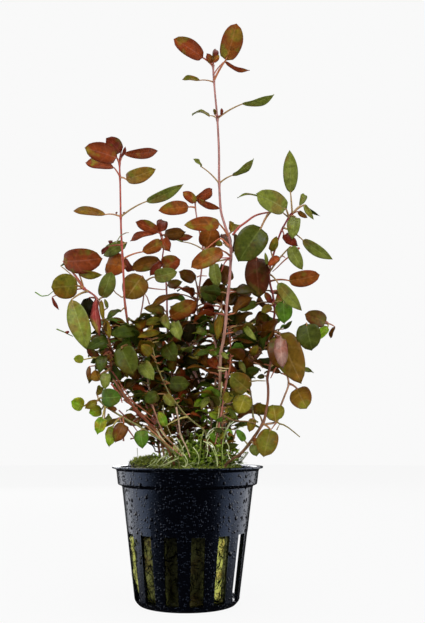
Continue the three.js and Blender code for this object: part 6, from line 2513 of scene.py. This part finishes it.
@dataclass
class Studio:
    """A pale floor, soft light from all sides and the camera at the photograph's angle."""

    lens: float = 47.4
    tilt: float = math.radians(98.7)
    paper: StudioPaper = StudioPaper()
    fill: float = 0.2
    gleam: float = 0.02
    floor_radius: float = 1500.0
    boxes: tuple[Softbox, ...] = (
        Softbox((-330, -560, 420), 320, 320, 2.6, glossy=False),
        Softbox((360, -520, 300), 320, 320, 2.7, glossy=False),
        Softbox((-520, 140, 66), 1060, 470, 3.1, aim=(0, 140, 66)),
        Softbox((520, 140, 66), 1060, 470, 3.1, aim=(0, 140, 66)),
        Softbox((0, -40, 760), 460, 460, 4.5),
        Softbox((-160, 620, 300), 420, 420, 2.5),
    )

    def build(self) -> None:
        """Sets the camera, the lights, the background and the floor."""
        scene = bpy.context.scene
        scene.view_settings.view_transform = "Standard"
        lens = bpy.data.cameras.new("front_view")
        lens.lens = self.lens
        camera = bpy.data.objects.new("front_view", lens)
        camera.location = Vector(SIGHT.eye) * MM
        camera.rotation_euler = (self.tilt, 0, 0)
        scene.collection.objects.link(camera)
        scene.camera = camera
        for number, box in enumerate(self.boxes):
            self.hang_box(scene, f"softbox_{number}", box)
        self.hang_background(scene)
        self.lay_floor(scene)

    @staticmethod
    def hang_box(scene: bpy.types.Scene, name: str, box: Softbox) -> None:
        """Hangs a soft light.

        Args:
            scene: The scene.
            name: The light's name.
            box: The light.
        """
        lamp = bpy.data.lights.new(name, "AREA")
        lamp.shape = "RECTANGLE"
        lamp.size, lamp.size_y = box.wide * MM, box.tall * MM
        lamp.energy = box.watts
        shown = bpy.data.objects.new(name, lamp)
        shown.location = Vector(box.place) * MM
        heading = Vector(box.aim) - Vector(box.place)
        shown.rotation_euler = heading.to_track_quat("-Z", "Y").to_euler()
        shown.visible_camera = False
        shown.visible_glossy = box.glossy
        scene.collection.objects.link(shown)

    def hang_background(self, scene: bpy.types.Scene) -> None:
        """Makes the even background, which is pale to the eye and dim in reflections.

        Args:
            scene: The scene.
        """
        world = bpy.data.worlds.new("studio")
        world.use_nodes = True
        tree = world.node_tree
        tree.nodes.clear()
        pale = linear(self.paper.paper)
        seen, soft, dim = (
            add(tree, "ShaderNodeBackground", {0: pale, 1: strength})
            for strength in (1.0, self.fill, self.gleam)
        )
        rays = add(tree, "ShaderNodeLightPath").outputs
        unseen = add(tree, "ShaderNodeMixShader", {0: rays["Is Glossy Ray"], 1: soft, 2: dim})
        sky = add(tree, "ShaderNodeMixShader", {0: rays["Is Camera Ray"], 1: unseen, 2: seen})
        add(tree, "ShaderNodeOutputWorld", {"Surface": sky})
        scene.world = world

    def lay_floor(self, scene: bpy.types.Scene) -> None:
        """Lays the pale floor under the pot.

        Args:
            scene: The scene.
        """
        ring = [around(math.tau * k / 64, self.floor_radius, -0.05) for k in range(64)]
        mesh = new_mesh("pale_floor", ring, faces=[tuple(range(64))])
        mesh.materials.append(self.paper.build())
        floor = bpy.data.objects.new("pale_floor", mesh)
        scene.collection.objects.link(floor)
        floor.visible_glossy = False


def main() -> None:
    """Builds the pot, the wool, the shoots, what grows at their foot and the studio."""
    logging.basicConfig(level=logging.INFO, format="%(message)s")
    scatter, shoots = make_scatter_tree(), make_shoot_tree()
    NetPot().build(BlackPolypropylene().build())
    block = WoolPlug().build(scatter, MineralWool().build())
    Shoots(StemBark().build(), LeafTissue().build()).build(shoots)
    BaseGrowth().build(block, scatter, shoots)
    Studio().build()


if __name__ == "__main__":
    main()
